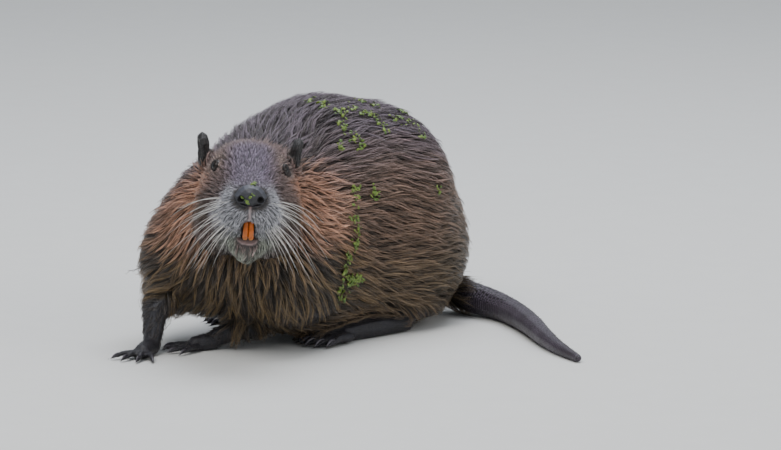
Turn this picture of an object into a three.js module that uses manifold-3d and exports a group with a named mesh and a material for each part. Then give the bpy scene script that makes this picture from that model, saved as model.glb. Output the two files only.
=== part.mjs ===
// A coypu (Myocastor coypus), a large water rodent, life size, crouching with its head raised.
// Units are millimetres, +Z is up and the floor is Z = 0. The head looks along -Y. The spine runs back
// from it in a curve towards the animal's left, which is +X, so the rump lies behind and to the side,
// and the round tail is laid on the floor, curving forward past the left hind foot.
// The body is one smooth field of overlapping masses. It is wrapped in meshes and parted with thin cuts.
import * as THREE from "three";
import { mergeVertices } from "three/addons/utils/BufferGeometryUtils.js";
import Module from "manifold-3d";

// Driving dimensions, with the coat included.
const BACK_HEIGHT = 230; // floor to the top of the arched back
const HIP_HALF_WIDTH = 96; // across the hips, measured square to the spine
const CHEST_HALF_WIDTH = 94; // across the shoulders and the ruff
const RUMP_HEADING = 43; // degrees that the rump is turned from the head's line
const EYE_HEIGHT = 180; // floor to the line through both eyes
const EYE_SPACING = 58.5; // centre to centre
const EYE_RADIUS = 6.3;
const HEAD_ROLL = 4; // degrees, the animal's left eye lower
const HEAD_YAW = 2; // degrees, the nose towards +X
const TAIL_RADII = [20, 17.5, 15, 13.2, 12, 10.8, 9.2, 7, 4.2];
const HINDFOOT = { long: 86, wide: 17, high: 9.5, toes: 5, spread: 24, toe: 36, toeRadius: 5, claw: 10 };
const FOREFOOT = { long: 24, wide: 12, high: 8, toes: 4, spread: 62, toe: 21, toeRadius: 3.6, claw: 9 };
const CLAW_RADII = [2, 0.6]; // at the toe and at the tip
const EYES_MIDDLE = { x: -46, y: -170 }; // the head's origin, seen from above
const GAP = 0.3; // between pieces that touch
const FINENESS = 0.14; // steps smaller than this are dropped from the finished solids
// How widely masses melt into each other.
const BLUR = { body: 12, nape: 8, join: 6, face: 4, nose: 1.5, socket: 1.5 };

const wasm = await Module();
wasm.setup();
const UP = new THREE.Vector3(0, 0, 1);
const at = (x, y, z) => new THREE.Vector3(x, y, z);
const radians = THREE.MathUtils.degToRad;

// ---- Solids and meshes ----

// A closed solid of a geometry, with its shared vertices merged and its folded triangles dropped.
function solid(geometry) {
  const bare = new THREE.BufferGeometry();
  bare.setAttribute("position", geometry.getAttribute("position"));
  bare.setIndex(geometry.index);
  const merged = mergeVertices(bare, 1e-4);
  const index = merged.index.array;
  const triVerts = [];
  for (let i = 0; i < index.length; i += 3) {
    const [a, b, c] = [index[i], index[i + 1], index[i + 2]];
    if (a !== b && b !== c && c !== a) triVerts.push(a, b, c);
  }
  const vertProperties = Float32Array.from(merged.getAttribute("position").array);
  const mesh = new wasm.Mesh({ numProp: 3, vertProperties, triVerts: Uint32Array.from(triVerts) });
  return new wasm.Manifold(mesh);
}

function geometryOf(manifold) {
  const { vertProperties, triVerts, numProp } = manifold.getMesh();
  const positions = [];
  for (let i = 0; i < vertProperties.length; i += numProp) {
    positions.push(vertProperties[i], vertProperties[i + 1], vertProperties[i + 2]);
  }
  const geometry = new THREE.BufferGeometry();
  geometry.setAttribute("position", new THREE.Float32BufferAttribute(positions, 3));
  geometry.setIndex([...triVerts]);
  geometry.computeVertexNormals();
  return geometry;
}

// The largest connected body of a solid, without the crumbs that a cut can leave.
function largest(manifold) {
  const bodies = manifold.decompose();
  return bodies.reduce((best, body) => (body.volume() > best.volume() ? body : best));
}

const moved = (manifold, matrix) => manifold.transform([...matrix.elements]);

function ball(centre, radii, turn = [0, 0, 0], detail = 16) {
  const geometry = new THREE.SphereGeometry(1, detail, Math.round(detail * 0.6));
  const rotation = new THREE.Quaternion().setFromEuler(new THREE.Euler(...turn.map(radians), "ZYX"));
  geometry.applyMatrix4(new THREE.Matrix4().compose(centre, rotation, at(...radii)));
  return solid(geometry);
}

// The half of a solid on the side that normal points to, set back from the plane by half a gap.
function half(manifold, point, normal) {
  const unit = normal.clone().normalize();
  return manifold.trimByPlane([unit.x, unit.y, unit.z], unit.dot(point) + GAP / 2);
}

// A capsule bent round an axis curve, with each vertex pushed out from the axis as far as reach says.
function wrap(axis, reach, { sides, rings, caps, up = UP }) {
  const geometry = new THREE.CapsuleGeometry(1, 2, caps, sides, rings);
  const position = geometry.getAttribute("position");
  const vertex = new THREE.Vector3();
  for (let i = 0; i < position.count; i++) {
    vertex.fromBufferAttribute(position, i);
    const along = THREE.MathUtils.clamp(vertex.y, -1, 1);
    const t = (along + 1) / 2;
    const tangent = axis.getTangentAt(t);
    const side = tangent.clone().cross(up).normalize();
    const rise = side.clone().cross(tangent);
    const way = side.multiplyScalar(vertex.x).addScaledVector(tangent, vertex.y - along);
    way.addScaledVector(rise, vertex.z).normalize();
    const start = axis.getPointAt(t);
    start.addScaledVector(way, reach(start, way, t));
    position.setXYZ(i, start.x, start.y, start.z);
  }
  return solid(geometry);
}

// A tapered limb, toe, claw or tail: a wrap whose radius runs through a list of values.
function limb(points, radii, detail) {
  const radiusAt = (t) => {
    const place = t * (radii.length - 1);
    const before = Math.min(Math.floor(place), radii.length - 2);
    return THREE.MathUtils.lerp(radii[before], radii[before + 1], place - before);
  };
  return wrap(new THREE.CatmullRomCurve3(points), (start, way, t) => radiusAt(t), detail);
}

// ---- The body as a field: negative inside, positive outside, roughly in millimetres ----

// An ellipsoid with its own radii, turned about +Z by a heading in degrees.
function mass(centre, radii, heading = 0) {
  const cos = Math.cos(radians(heading));
  const sin = Math.sin(radians(heading));
  return (p) => {
    const dx = p.x - centre.x;
    const dy = p.y - centre.y;
    const x = (dx * cos + dy * sin) / radii[0];
    const y = (dy * cos - dx * sin) / radii[1];
    const z = (p.z - centre.z) / radii[2];
    const size = Math.hypot(x, y, z);
    return (size * (size - 1)) / Math.max(Math.hypot(x / radii[0], y / radii[1], z / radii[2]), 1e-9);
  };
}

// Masses melted together, over a width of a few times blur.
const melt = (fields, blur) => (p) =>
  -blur * Math.log(fields.reduce((sum, field) => sum + Math.exp(-field(p) / blur), 0));

// One field less another, with a rounded rim.
const hollow = (field, hole, blur) => (p) =>
  blur * Math.log(Math.exp(field(p) / blur) + Math.exp(-hole(p) / blur));

// How far a ray can go from inside a field before it leaves it, found in steps and then by halving.
const STEP = 3;
const LONGEST = 260;
const HALVINGS = 12;
function leaving(field, level = 0) {
  const probe = new THREE.Vector3();
  const inside = (start, way, far) => field(probe.copy(start).addScaledVector(way, far)) < level;
  return (start, way) => {
    let far = STEP;
    while (far < LONGEST && inside(start, way, far)) far += STEP;
    let near = far - STEP;
    for (let i = 0; i < HALVINGS; i++) {
      const middle = (near + far) / 2;
      if (inside(start, way, middle)) near = middle;
      else far = middle;
    }
    return near;
  };
}

// ---- The masses of the body ----

// Where the spine passes over, seen from above, and the heading there.
const RUMP = { x: 108, y: 90, heading: RUMP_HEADING + 4 };
const HIPS = { x: 63, y: 50, heading: RUMP_HEADING };
const LOIN = { x: 17, y: 0, heading: RUMP_HEADING - 2 };
const WITHERS = { x: -24, y: -42, heading: 37 };
const SHOULDERS = { x: -56, y: -84, heading: 26 };
// A point beside the spine: out is towards the animal's left, ahead is towards its head.
function beside(station, out, ahead, z) {
  const turn = radians(station.heading);
  const x = station.x + out * Math.cos(turn) - ahead * Math.sin(turn);
  const y = station.y - out * Math.sin(turn) - ahead * Math.cos(turn);
  return at(x, y, z);
}
const laid = (station, out, ahead, z, radii) =>
  mass(beside(station, out, ahead, z), radii, -station.heading);
const backMass = (station, top, halfWidth, length, depth) =>
  laid(station, 0, 0, top - depth, [halfWidth, length, depth]);

// The same mass on both sides of the spine.
const bothSides = (station, out, ahead, z, radii) =>
  [1, -1].map((side) => laid(station, side * out, ahead, z, radii));
// The masses that the head's wrap shares with the trunk's, so that the two agree at the nape.
const napeMasses = [
  backMass(WITHERS, BACK_HEIGHT - 20, HIP_HALF_WIDTH - 30, 62, 84),
  backMass(SHOULDERS, BACK_HEIGHT - 48, CHEST_HALF_WIDTH - 26, 60, 68),
  mass(at(-38, -104, 143), [46, 54, 45]),
  mass(at(-50, -118, 122), [65, 46, 44]), // ruff
];
const trunkField = melt(
  [
    laid(RUMP, 0, -2, 73, [58, 41, 68]),
    ...bothSides(HIPS, 58, 6, 36, [26, 42, 28]), // low on the haunch, over the heel
    backMass(HIPS, BACK_HEIGHT - 17, HIP_HALF_WIDTH - 3, 70, 82),
    ...bothSides(HIPS, 46, 2, 66, [46, 72, 56]), // haunches
    backMass(LOIN, BACK_HEIGHT - 3, HIP_HALF_WIDTH - 12, 74, 94),
    laid(LOIN, 0, 0, 52, [80, 100, 44]), // belly
    laid(LOIN, 34, 58, 42, [44, 58, 30]), // skirt of the left flank
    laid(WITHERS, 0, 4, 104, [84, 62, 74]),
    ...bothSides(SHOULDERS, 58, 10, 78, [36, 52, 48]), // shoulders
    laid(SHOULDERS, 0, 12, 80, [CHEST_HALF_WIDTH - 18, 64, 50]), // chest
    ...napeMasses,
  ],
  BLUR.body,
);

// The head's own frame: its origin lies midway between the eyes, -Y points to the nose.
const headRotation = new THREE.Euler(0, radians(HEAD_ROLL), radians(HEAD_YAW), "ZYX");
const headFrame = new THREE.Matrix4().compose(
  at(EYES_MIDDLE.x, EYES_MIDDLE.y, EYE_HEIGHT),
  new THREE.Quaternion().setFromEuler(headRotation),
  at(1, 1, 1),
);
const intoHead = headFrame.clone().invert();
const pair = (x, y, z, radii) => [mass(at(x, y, z), radii), mass(at(-x, y, z), radii)];
const cranium = mass(at(0, 22, -12), [43, 50, 37]);
const headMelt = melt(
  [
    cranium,
    mass(at(0, -6, -6), [33, 27, 17]), // brow
    mass(at(0, -28, -15), [23, 34, 19]), // bridge of the nose
    mass(at(0, -55, -19), [16, 14, 13]), // tip of the muzzle
    ...pair(13, -45, -34, [17, 21, 17]), // whisker pads
    mass(at(0, -50, -37), [12, 14, 9]), // upper lip
    ...pair(26, 4, -38, [27, 40, 30]), // cheeks
    ...pair(24, 6, -62, [26, 38, 26]), // jowls
    mass(at(0, -20, -64), [20, 33, 15]), // lower jaw
    mass(at(0, -44, -69.5), [11, 12, 12.5]), // chin
    mass(at(0, 24, -62), [40, 42, 34]), // throat
  ],
  BLUR.face,
);
const eyeCentre = (side) => at((side * EYE_SPACING) / 2, 0, 0);
const SOCKET = { out: 6.5, y: -6, z: 0.5, radii: [8, 9, 7.5] }; // out from the middle of the eye
const sockets = [1, -1].map((side) =>
  mass(at(side * (EYE_SPACING / 2 + SOCKET.out), SOCKET.y, SOCKET.z), SOCKET.radii),
);
const headField = sockets.reduce((field, socket) => hollow(field, socket, BLUR.socket), headMelt);
// A field read from points of another frame.
function seenFrom(field, matrix) {
  const there = new THREE.Vector3();
  return (p) => field(there.copy(p).applyMatrix4(matrix));
}
const napeInHead = seenFrom(melt(napeMasses, BLUR.nape), headFrame);
const craniumInBody = seenFrom(cranium, intoHead);

// ---- Trunk, neck and head ----

// The axis of the torso's wrap bends less than the spine, which keeps its rings from crossing.
const torsoAxis = new THREE.CatmullRomCurve3([
  beside(RUMP, 0, -4, 70),
  beside(HIPS, 0, 0, 98),
  beside(LOIN, 0, 0, 104),
  beside(WITHERS, 0, 0, 106),
  at(-56, -84, 108),
  at(-72, -108, 114),
]);
const torsoField = melt([trunkField, craniumInBody], BLUR.join);
const torso = (grow) => wrap(torsoAxis, leaving(torsoField, grow), { sides: 26, rings: 14, caps: 4 });
const headAxis = new THREE.LineCurve3(at(0, 42, -34), at(0, -34, -40));
const faceField = melt([headField, napeInHead], BLUR.join);
// The head ends behind the ears and under the throat, on this plane of its own frame.
const NAPE = { point: at(0, 60, 20), normal: at(0, -0.79, 0.61) };
// The skull reaches this far behind it, into the torso.
const SKULL_END = NAPE.point.clone().add(at(0, 14, 0));
const skull = (grow) =>
  half(wrap(headAxis, leaving(faceField, grow), { sides: 24, rings: 6, caps: 6 }), SKULL_END, NAPE.normal);

// Torso and skull joined, then parted again at the nape, and at the collar where the neck meets the trunk.
const body = torso(0).add(moved(skull(0), headFrame));
const nape = {
  point: NAPE.point.clone().applyMatrix4(headFrame),
  normal: NAPE.normal.clone().transformDirection(headFrame),
};
const collar = { point: at(-56, -104, 146), normal: at(-0.12, -0.7, 0.7) };
const behind = (manifold, plane) => half(manifold, plane.point, plane.normal.clone().negate());
const skullWhole = moved(half(body, nape.point, nape.normal), intoHead);
const neck = half(behind(body, nape), collar.point, collar.normal);
const barrel = behind(behind(body, nape), collar);
const torsoOut = torso(GAP);
const headOut = skull(GAP).add(moved(torsoOut, intoHead));

// ---- Face ----

// An ear is a low shell with a rounded upper rim, hollowed from outside, and leans out a little.
const EAR_LEAN = 8;
const EAR = {
  root: { x: 43, y: 36, z: 5, radii: [6.3, 11.5, 17], detail: 8 },
  rim: { x: 44, y: 36, z: 13, radii: [6.4, 11.2, 11], detail: 8 },
  bowl: { x: 48, y: 33, z: 8, radii: [5, 8, 12], detail: 6 },
};
function ear(side) {
  const lean = [0, side * EAR_LEAN, 0];
  const [root, rim, bowl] = [EAR.root, EAR.rim, EAR.bowl].map(({ x, y, z, radii, detail }) =>
    ball(at(side * x, y, z), radii, lean, detail),
  );
  return root.add(rim).subtract(bowl).subtract(headOut);
}

const eyeball = (side, grow = 0) => ball(eyeCentre(side), Array(3).fill(EYE_RADIUS + grow), [0, 90, 0], 10);

const noseField = melt(
  [
    mass(at(0, -62, -12.5), [11, 10, 7]),
    ...pair(8.5, -62, -17.5, [6.5, 9, 6.6]),
    mass(at(0, -64, -21), [5, 6, 5]),
  ],
  BLUR.nose,
);
const noseAxis = new THREE.LineCurve3(at(0, -58, -16), at(0, -63, -16.5));
const nosePad = (grow) => wrap(noseAxis, leaving(noseField, grow), { sides: 14, rings: 1, caps: 3 });
const NOSTRIL = { x: 9.5, y: -72, z: -18, radii: [2.6, 5, 3.2], turn: 20 };
const nostrils = [1, -1].map((side) =>
  ball(at(side * NOSTRIL.x, NOSTRIL.y, NOSTRIL.z), NOSTRIL.radii, [0, 0, side * NOSTRIL.turn], 6),
);
const nose = nosePad(0).subtract(nostrils[0]).subtract(nostrils[1]);

// The upper incisors curve down from the gum to their edge. A tooth leans on its neighbour.
const TOOTH = { out: 3, radii: [3.3, 3.4, 3.4, 3] };
function incisorPair(grow) {
  const tooth = (side) => {
    const x = side * TOOTH.out;
    const points = [at(x, -52, -28), at(x, -60, -39), at(x, -62, -47.5), at(x, -60.5, -54.5)];
    const radii = TOOTH.radii.map((radius) => radius + grow);
    return limb(points, radii, { sides: 8, rings: 3, caps: 1, up: at(1, 0, 0) });
  };
  return tooth(1).add(tooth(-1));
}

// The mouth is open round the incisors, and the jaw is parted from the head by a shell along the lips.
const MOUTH = { centre: at(0, -59, -49.5), radii: [9.5, 14, 9.5] };
const JAW = { centre: at(0, -18, -82), radii: [26, 46, 25], tip: -6 };
const mouth = ball(MOUTH.centre, MOUTH.radii, [0, 0, 0], 10);
const jawShell = (grow) => ball(JAW.centre, JAW.radii.map((radius) => radius + grow), [JAW.tip, 0, 0], 12);
const without = (whole, cutters) => cutters.reduce((rest, cutter) => rest.subtract(cutter), whole);
const facePieces = [eyeball(1, GAP), eyeball(-1, GAP), nosePad(GAP), incisorPair(GAP)];
const face = without(skullWhole, [...facePieces, mouth]);
const jaw = face.intersect(jawShell(0));
const head = face.subtract(jawShell(GAP));

// ---- Legs ----

// A foot in its own frame: the heel or wrist is at the origin, the toes point along -Y, the floor is Z = 0.
function foot(size) {
  const ankle = at(0, 0, size.high);
  const pad = at(0, -size.long, size.high * 0.72);
  const radii = [size.high, size.high * 1.05, size.high * 0.9].map((radius) => radius + 0.6);
  let whole = limb([ankle, ankle.clone().lerp(pad, 0.55), pad], radii, { sides: 8, rings: 2, caps: 1 });
  const broad = [size.wide, size.wide * 0.8, size.toeRadius * 1.15];
  whole = whole.add(ball(at(0, -size.long, size.toeRadius), broad, [0, 0, 0], 6));
  for (let i = 0; i < size.toes; i++) {
    const share = i / (size.toes - 1) - 0.5;
    const turn = radians(share * size.spread);
    const reach = size.toe * (1 - Math.abs(share - 0.08) * 0.55);
    const way = at(Math.sin(turn), -Math.cos(turn), 0);
    const root = at(share * size.wide * 1.5, -size.long, size.toeRadius + 1);
    const along = (distance, z) => root.clone().addScaledVector(way, distance).setZ(z);
    const points = [
      root,
      along(reach * 0.5, size.toeRadius + 2.2),
      along(reach, size.toeRadius - 0.6),
      along(reach + size.claw * 0.6, size.toeRadius + 0.4),
      along(reach + size.claw + size.toeRadius, 1.2),
    ];
    const toeRadii = [1.1, 1, 0.92, 0.82].map((part) => part * size.toeRadius);
    whole = whole.add(limb(points, [...toeRadii, ...CLAW_RADII], { sides: 5, rings: 3, caps: 1 }));
  }
  return whole;
}

// The web between the toes of a hind foot, leaving the outer toe free.
function web({ long, wide, toe }) {
  const reach = toe * 0.42;
  return ball(at(-2, -long - reach * 0.6, 3), [wide * 0.95, reach, 2.2], [0, 0, 0], 6);
}

function placed(x, y, heading) {
  return new THREE.Matrix4().makeRotationZ(-radians(heading)).setPosition(x, y, 0);
}

const onFloor = (manifold) => manifold.trimByPlane([0, 0, 1], 0);
const hindShape = foot(HINDFOOT).add(web(HINDFOOT));
const foreShape = foot(FOREFOOT);
// Each limb's way down to its print, with the radii along it, and the share of the barrel that is its thigh
// or shoulder, as an ellipsoid beside the spine.
const THIGH = { station: HIPS, out: 70, ahead: 0, z: 66, radii: [46, 74, 60] };
const UPPER_ARM = { station: SHOULDERS, out: 76, ahead: 16, z: 64, radii: [38, 46, 50] };
const LIMBS = {
  hind_left: {
    shape: hindShape,
    print: placed(101, -14, 47),
    way: [at(84, 20, 50), at(96, 2, 34), at(101, -14, 14)],
    radii: [20, 15, 11],
    side: 1,
    shell: THIGH,
  },
  hind_right: {
    shape: hindShape,
    print: placed(6, 100, 44),
    way: [at(26, 92, 50), at(14, 102, 34), at(6, 100, 14)],
    radii: [20, 15, 11],
    side: -1,
    shell: THIGH,
  },
  fore_left: {
    shape: foreShape,
    print: placed(-79, -110, 66),
    way: [at(2, -88, 46), at(-28, -104, 28), at(-54, -109, 20), at(-79, -110, 12)],
    radii: [22, 17, 13, 9.5],
    side: 1,
    shell: UPPER_ARM,
  },
  fore_right: {
    shape: foreShape,
    print: placed(-138, -136, 24),
    way: [at(-114, -98, 72), at(-131, -120, 48), at(-138, -133, 28), at(-138, -136, 12)],
    radii: [24, 18, 13, 9.5],
    side: -1,
    shell: UPPER_ARM,
  },
};
const shank = ({ way, radii }, grow) =>
  limb(way, radii.map((radius) => radius + grow), { sides: 8, rings: 3, caps: 2, up: at(0, 1, 0) });
function shell({ side, shell: { station, out, ahead, z, radii } }, grow) {
  const grown = radii.map((radius) => radius + grow);
  return ball(beside(station, side * out, ahead, z), grown, [0, 0, -station.heading], 10);
}

const cuts = Object.values(LIMBS).flatMap((each) => [shell(each, GAP), shank(each, GAP)]);
const trunk = without(barrel, cuts);
// Each limb is its share of the barrel with its shank, and a foot with the shank's end, parted by a plane
// that slopes through the ankle, given in the foot's own frame.
const ANKLE = { point: at(0, -8, 13), normal: at(0, -0.5, -0.87) };
function limbNodes(name) {
  const { shape, print } = LIMBS[name];
  const ankle = ANKLE.point.clone().applyMatrix4(print);
  const down = ANKLE.normal.clone().transformDirection(print);
  const up = down.clone().negate();
  const above = (grow) => half(shank(LIMBS[name], grow), ankle.clone().addScaledVector(down, grow), up);
  const leg = barrel.intersect(shell(LIMBS[name], 0)).add(above(0));
  const whole = moved(shape, print).add(half(shank(LIMBS[name], 0), ankle, down));
  return { leg, sole: onFloor(whole).subtract(torsoOut).subtract(above(GAP)) };
}

// ---- Tail ----

const tailPoints = [
  at(102, 80, 32), at(136, 88, 21), at(168, 74, 16), at(193, 42, 13), at(208, 2, 11.4),
  at(219, -44, 10.2), at(228, -92, 8.6), at(240, -140, 6.4), at(257, -184, 3.8),
];
const tailCurve = new THREE.CatmullRomCurve3(tailPoints);
const TAIL_CUTS = [0.4, 0.7];
const tail = onFloor(limb(tailPoints, TAIL_RADII, { sides: 9, rings: 16, caps: 2 })).subtract(torsoOut);
function tailLength(from, to) {
  let piece = tail;
  if (from > 0) piece = half(piece, tailCurve.getPointAt(from), tailCurve.getTangentAt(from));
  if (to < 1) piece = half(piece, tailCurve.getPointAt(to), tailCurve.getTangentAt(to).negate());
  return piece;
}

// ---- The model ----

const coat = (color, roughness) => new THREE.MeshStandardMaterial({ color, roughness, metalness: 0 });
const FUR = coat(0x5b4433, 0.85);
const FACE_FUR = coat(0x6d5b52, 0.85);
const WET_SKIN = coat(0x2a2523, 0.55);
const TAIL_SKIN = coat(0x4f4447, 0.6);
const NOSE_SKIN = coat(0x2f3138, 0.4);
const ENAMEL = coat(0xc4560c, 0.35);
const EYE = coat(0x0d0907, 0.08);

const model = new THREE.Group();
const headGroup = new THREE.Group();
headGroup.applyMatrix4(headFrame);
model.add(headGroup);

function addNode(group, name, manifold, material) {
  const mesh = new THREE.Mesh(geometryOf(largest(manifold.simplify(FINENESS))), material);
  mesh.name = name;
  group.add(mesh);
}

addNode(headGroup, "head", head, FACE_FUR);
addNode(headGroup, "jaw", jaw, FACE_FUR);
addNode(headGroup, "nose", nose, NOSE_SKIN);
addNode(headGroup, "incisors", incisorPair(0), ENAMEL);
for (const [name, side] of [["left", 1], ["right", -1]]) {
  addNode(headGroup, "ear_" + name, ear(side), WET_SKIN);
  addNode(headGroup, "eye_" + name, eyeball(side), EYE);
}
addNode(model, "neck", neck, FUR);
addNode(model, "trunk", trunk, FUR);
for (const name of Object.keys(LIMBS)) {
  const [kind, side] = name.split("_");
  const { leg, sole } = limbNodes(name);
  addNode(model, kind + "leg_" + side, leg, FUR);
  addNode(model, kind + "foot_" + side, sole, WET_SKIN);
}
addNode(model, "tail_root", tailLength(0, TAIL_CUTS[0]), TAIL_SKIN);
addNode(model, "tail_middle", tailLength(TAIL_CUTS[0], TAIL_CUTS[1]), TAIL_SKIN);
addNode(model, "tail_end", tailLength(TAIL_CUTS[1], 1), TAIL_SKIN);

// The origin is on the floor under the middle of the whole, tail included.
const middle = new THREE.Box3().setFromObject(model, true).getCenter(new THREE.Vector3());
model.position.set(-middle.x, -middle.y, 0);

export default model;
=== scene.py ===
"""A wet coypu crouching on all fours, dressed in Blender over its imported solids.

One skin stands for the flesh: the solids are melted together, smoothed, drawn in by the depth of the
coat, and worked finer round the face. Locks of fur grow from it: each lock is a clump of strands that
follow the lie of the coat and come together at the tip. Eyes, nose, teeth, claws, whiskers and duckweed
are pieces of their own. Lengths are in metres, and names that end in _MM are millimetres.
"""

import math

import bmesh
import bpy
import numpy as np
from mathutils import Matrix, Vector
from mathutils.bvhtree import BVHTree
from mathutils.kdtree import KDTree


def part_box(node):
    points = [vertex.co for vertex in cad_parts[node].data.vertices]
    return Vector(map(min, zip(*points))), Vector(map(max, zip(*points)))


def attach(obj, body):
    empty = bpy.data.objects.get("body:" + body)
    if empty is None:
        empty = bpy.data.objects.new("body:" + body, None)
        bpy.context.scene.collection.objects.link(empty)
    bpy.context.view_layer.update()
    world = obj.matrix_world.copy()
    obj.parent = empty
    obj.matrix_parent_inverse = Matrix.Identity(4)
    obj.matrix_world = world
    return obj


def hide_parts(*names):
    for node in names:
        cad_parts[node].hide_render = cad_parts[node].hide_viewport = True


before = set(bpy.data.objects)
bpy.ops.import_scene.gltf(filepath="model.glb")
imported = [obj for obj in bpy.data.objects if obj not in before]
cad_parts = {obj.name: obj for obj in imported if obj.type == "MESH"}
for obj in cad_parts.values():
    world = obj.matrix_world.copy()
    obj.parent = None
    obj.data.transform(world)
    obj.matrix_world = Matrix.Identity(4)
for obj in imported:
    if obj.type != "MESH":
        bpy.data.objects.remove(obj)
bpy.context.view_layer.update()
MM = 0.001
SEED = 20

# ---------------------------------------------------------------------------- sizes and places

# The skin's first mesh: its grid, how far the solids are swollen to close gaps, and how often it's smoothed.
VOXEL_MM = 1.7
SWELL_MM = 0.35
SMOOTH_ROUNDS = 26

PHOTO_WIDTH, PHOTO_HEIGHT = 781, 450
CAMERA_DISTANCE = 6.0
CAMERA_ELEVATION = 9.1
CAMERA_AZIMUTH = -0.8
PIXELS_PER_RADIAN = 6300.0
CAMERA_TARGET_MM = (44.8, 47.8, 99.6)


def camera_back():
    """The way from the camera's target to the camera."""
    rise, turn = math.radians(CAMERA_ELEVATION), math.radians(CAMERA_AZIMUTH)
    return Vector((math.sin(turn) * math.cos(rise), -math.cos(turn) * math.cos(rise), math.sin(rise)))


CAMERA_BACK = camera_back()
CAMERA_PLACE = Vector(CAMERA_TARGET_MM) * MM + CAMERA_BACK * CAMERA_DISTANCE

EYE_RADIUS_MM = 6.2
HEAD_NODES = ["head", "jaw"]
EAR_NODES = ["ear_left", "ear_right"]
LEG_NODES = ["hindleg_left", "hindleg_right", "foreleg_left", "foreleg_right"]
FOOT_NODES = ["hindfoot_left", "hindfoot_right", "forefoot_left", "forefoot_right"]
TAIL_NODES = ["tail_root", "tail_middle", "tail_end"]
FLESH = HEAD_NODES + ["neck", "trunk"] + EAR_NODES + LEG_NODES + FOOT_NODES + TAIL_NODES
SET_IN_FLESH = ["nose", "eye_left", "eye_right"]


def unit(v):
    v = np.asarray(v, float)
    return v / np.maximum(np.linalg.norm(v, axis=-1, keepdims=True), 1e-12)


def centre_of(node):
    low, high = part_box(node)
    return (np.array(low) + np.array(high)) / 2


# The head's own frame: midway between the eyes, to the animal's left, to the back of the head, and up.
HEAD_ORIGIN = (centre_of("eye_left") + centre_of("eye_right")) / 2
HEAD_ACROSS = unit(centre_of("eye_left") - centre_of("eye_right"))
HEAD_BACK = unit(np.array([0, 1, 0]) - HEAD_ACROSS * HEAD_ACROSS[1])
HEAD_UP = np.cross(HEAD_ACROSS, HEAD_BACK)
HEAD_AXES = np.stack([HEAD_ACROSS, HEAD_BACK, HEAD_UP])
EYE_SPREAD_MM = np.linalg.norm(centre_of("eye_left") - HEAD_ORIGIN) / MM


def in_head(points):
    """Points of the row frame in the head's frame, in millimetres."""
    return (points - HEAD_ORIGIN) @ HEAD_AXES.T / MM


def from_head(points_mm):
    return HEAD_ORIGIN + np.asarray(points_mm, float) * MM @ HEAD_AXES


def head_direction(v):
    return unit(np.asarray(v, float) @ HEAD_AXES)


def ramp(x, start, end):
    """0 before start, 1 after end, smooth between."""
    t = np.clip((x - start) / (end - start), 0, 1)
    return t * t * (3 - 2 * t)


def hill(x, middle, width):
    return np.exp(-(((x - middle) / width) ** 2))


def mixed(a, b, share):
    if np.ndim(a) > 1 or np.ndim(b) > 0 and np.ndim(share) == 1:
        share = np.asarray(share)[:, None]
    return a + (b - a) * share


# ---------------------------------------------------------------------------- mesh tools


def read(mesh, collection, name, width, kind=np.float32):
    values = np.empty(len(getattr(mesh, collection)) * width, kind)
    getattr(mesh, collection).foreach_get(name, values)
    return values.reshape(-1, width) if width > 1 else values


def positions(mesh):
    return read(mesh, "vertices", "co", 3).astype(float)


def normals(mesh):
    return read(mesh, "vertices", "normal", 3).astype(float)


def place(mesh, points):
    mesh.vertices.foreach_set("co", np.asarray(points, np.float32).ravel())
    mesh.update()


def add_attribute(mesh, name, kind, values):
    layer = mesh.attributes.new(name, kind, "POINT")
    field = {"FLOAT": "value", "FLOAT_VECTOR": "vector", "FLOAT_COLOR": "color"}[kind]
    layer.data.foreach_set(field, np.asarray(values, np.float32).ravel())


def links_of(mesh):
    """Each vertex's neighbours as a row, filled up with the vertex itself, and how many it has."""
    pairs = read(mesh, "edges", "vertices", 2, np.int32)
    both = np.concatenate([pairs, pairs[:, ::-1]])
    both = both[np.argsort(both[:, 0], kind="stable")]
    count = np.bincount(both[:, 0], minlength=len(mesh.vertices))
    first = np.cumsum(count) - count
    table = np.repeat(np.arange(len(mesh.vertices))[:, None], count.max(), 1)
    table[both[:, 0], np.arange(len(both)) - first[both[:, 0]]] = both[:, 1]
    return table, np.maximum(count, 1)


def blurred(values, links, rounds, share=0.5):
    """Values evened out over the mesh; share may differ from vertex to vertex."""
    table, count = links
    flat = values.ndim == 1
    values = values[:, None] if flat else values
    share = share if np.ndim(share) == 0 else np.asarray(share)[:, None]
    spare = (table.shape[1] - count)[:, None]
    for _ in range(rounds):
        near = (values[table].sum(1) - values * spare) / count[:, None]
        values = values + share * (near - values)
    return values[:, 0] if flat else values


def rounded(points, links, rounds, share=1.0):
    """The shape smoothed without shrinking, by one step in and a slightly longer step out."""
    for _ in range(rounds):
        points = blurred(points, links, 1, 0.5 * share)
        points = blurred(points, links, 1, -0.52 * share)
    return points


def mesh_from(name, points, faces_by_size):
    """A mesh from an array of points and a dict of face size to arrays of vertex numbers."""
    mesh = bpy.data.meshes.new(name)
    sizes = np.concatenate([np.full(len(f), n, np.int32) for n, f in faces_by_size.items()])
    corners = np.concatenate([np.asarray(f, np.int32).ravel() for f in faces_by_size.values()])
    mesh.vertices.add(len(points))
    mesh.vertices.foreach_set("co", np.asarray(points, np.float32).ravel())
    mesh.loops.add(len(corners))
    mesh.loops.foreach_set("vertex_index", corners)
    mesh.polygons.add(len(sizes))
    mesh.polygons.foreach_set("loop_start", np.concatenate([[0], np.cumsum(sizes)[:-1]]).astype(np.int32))
    mesh.update(calc_edges=True)
    mesh.validate()
    return mesh


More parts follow.
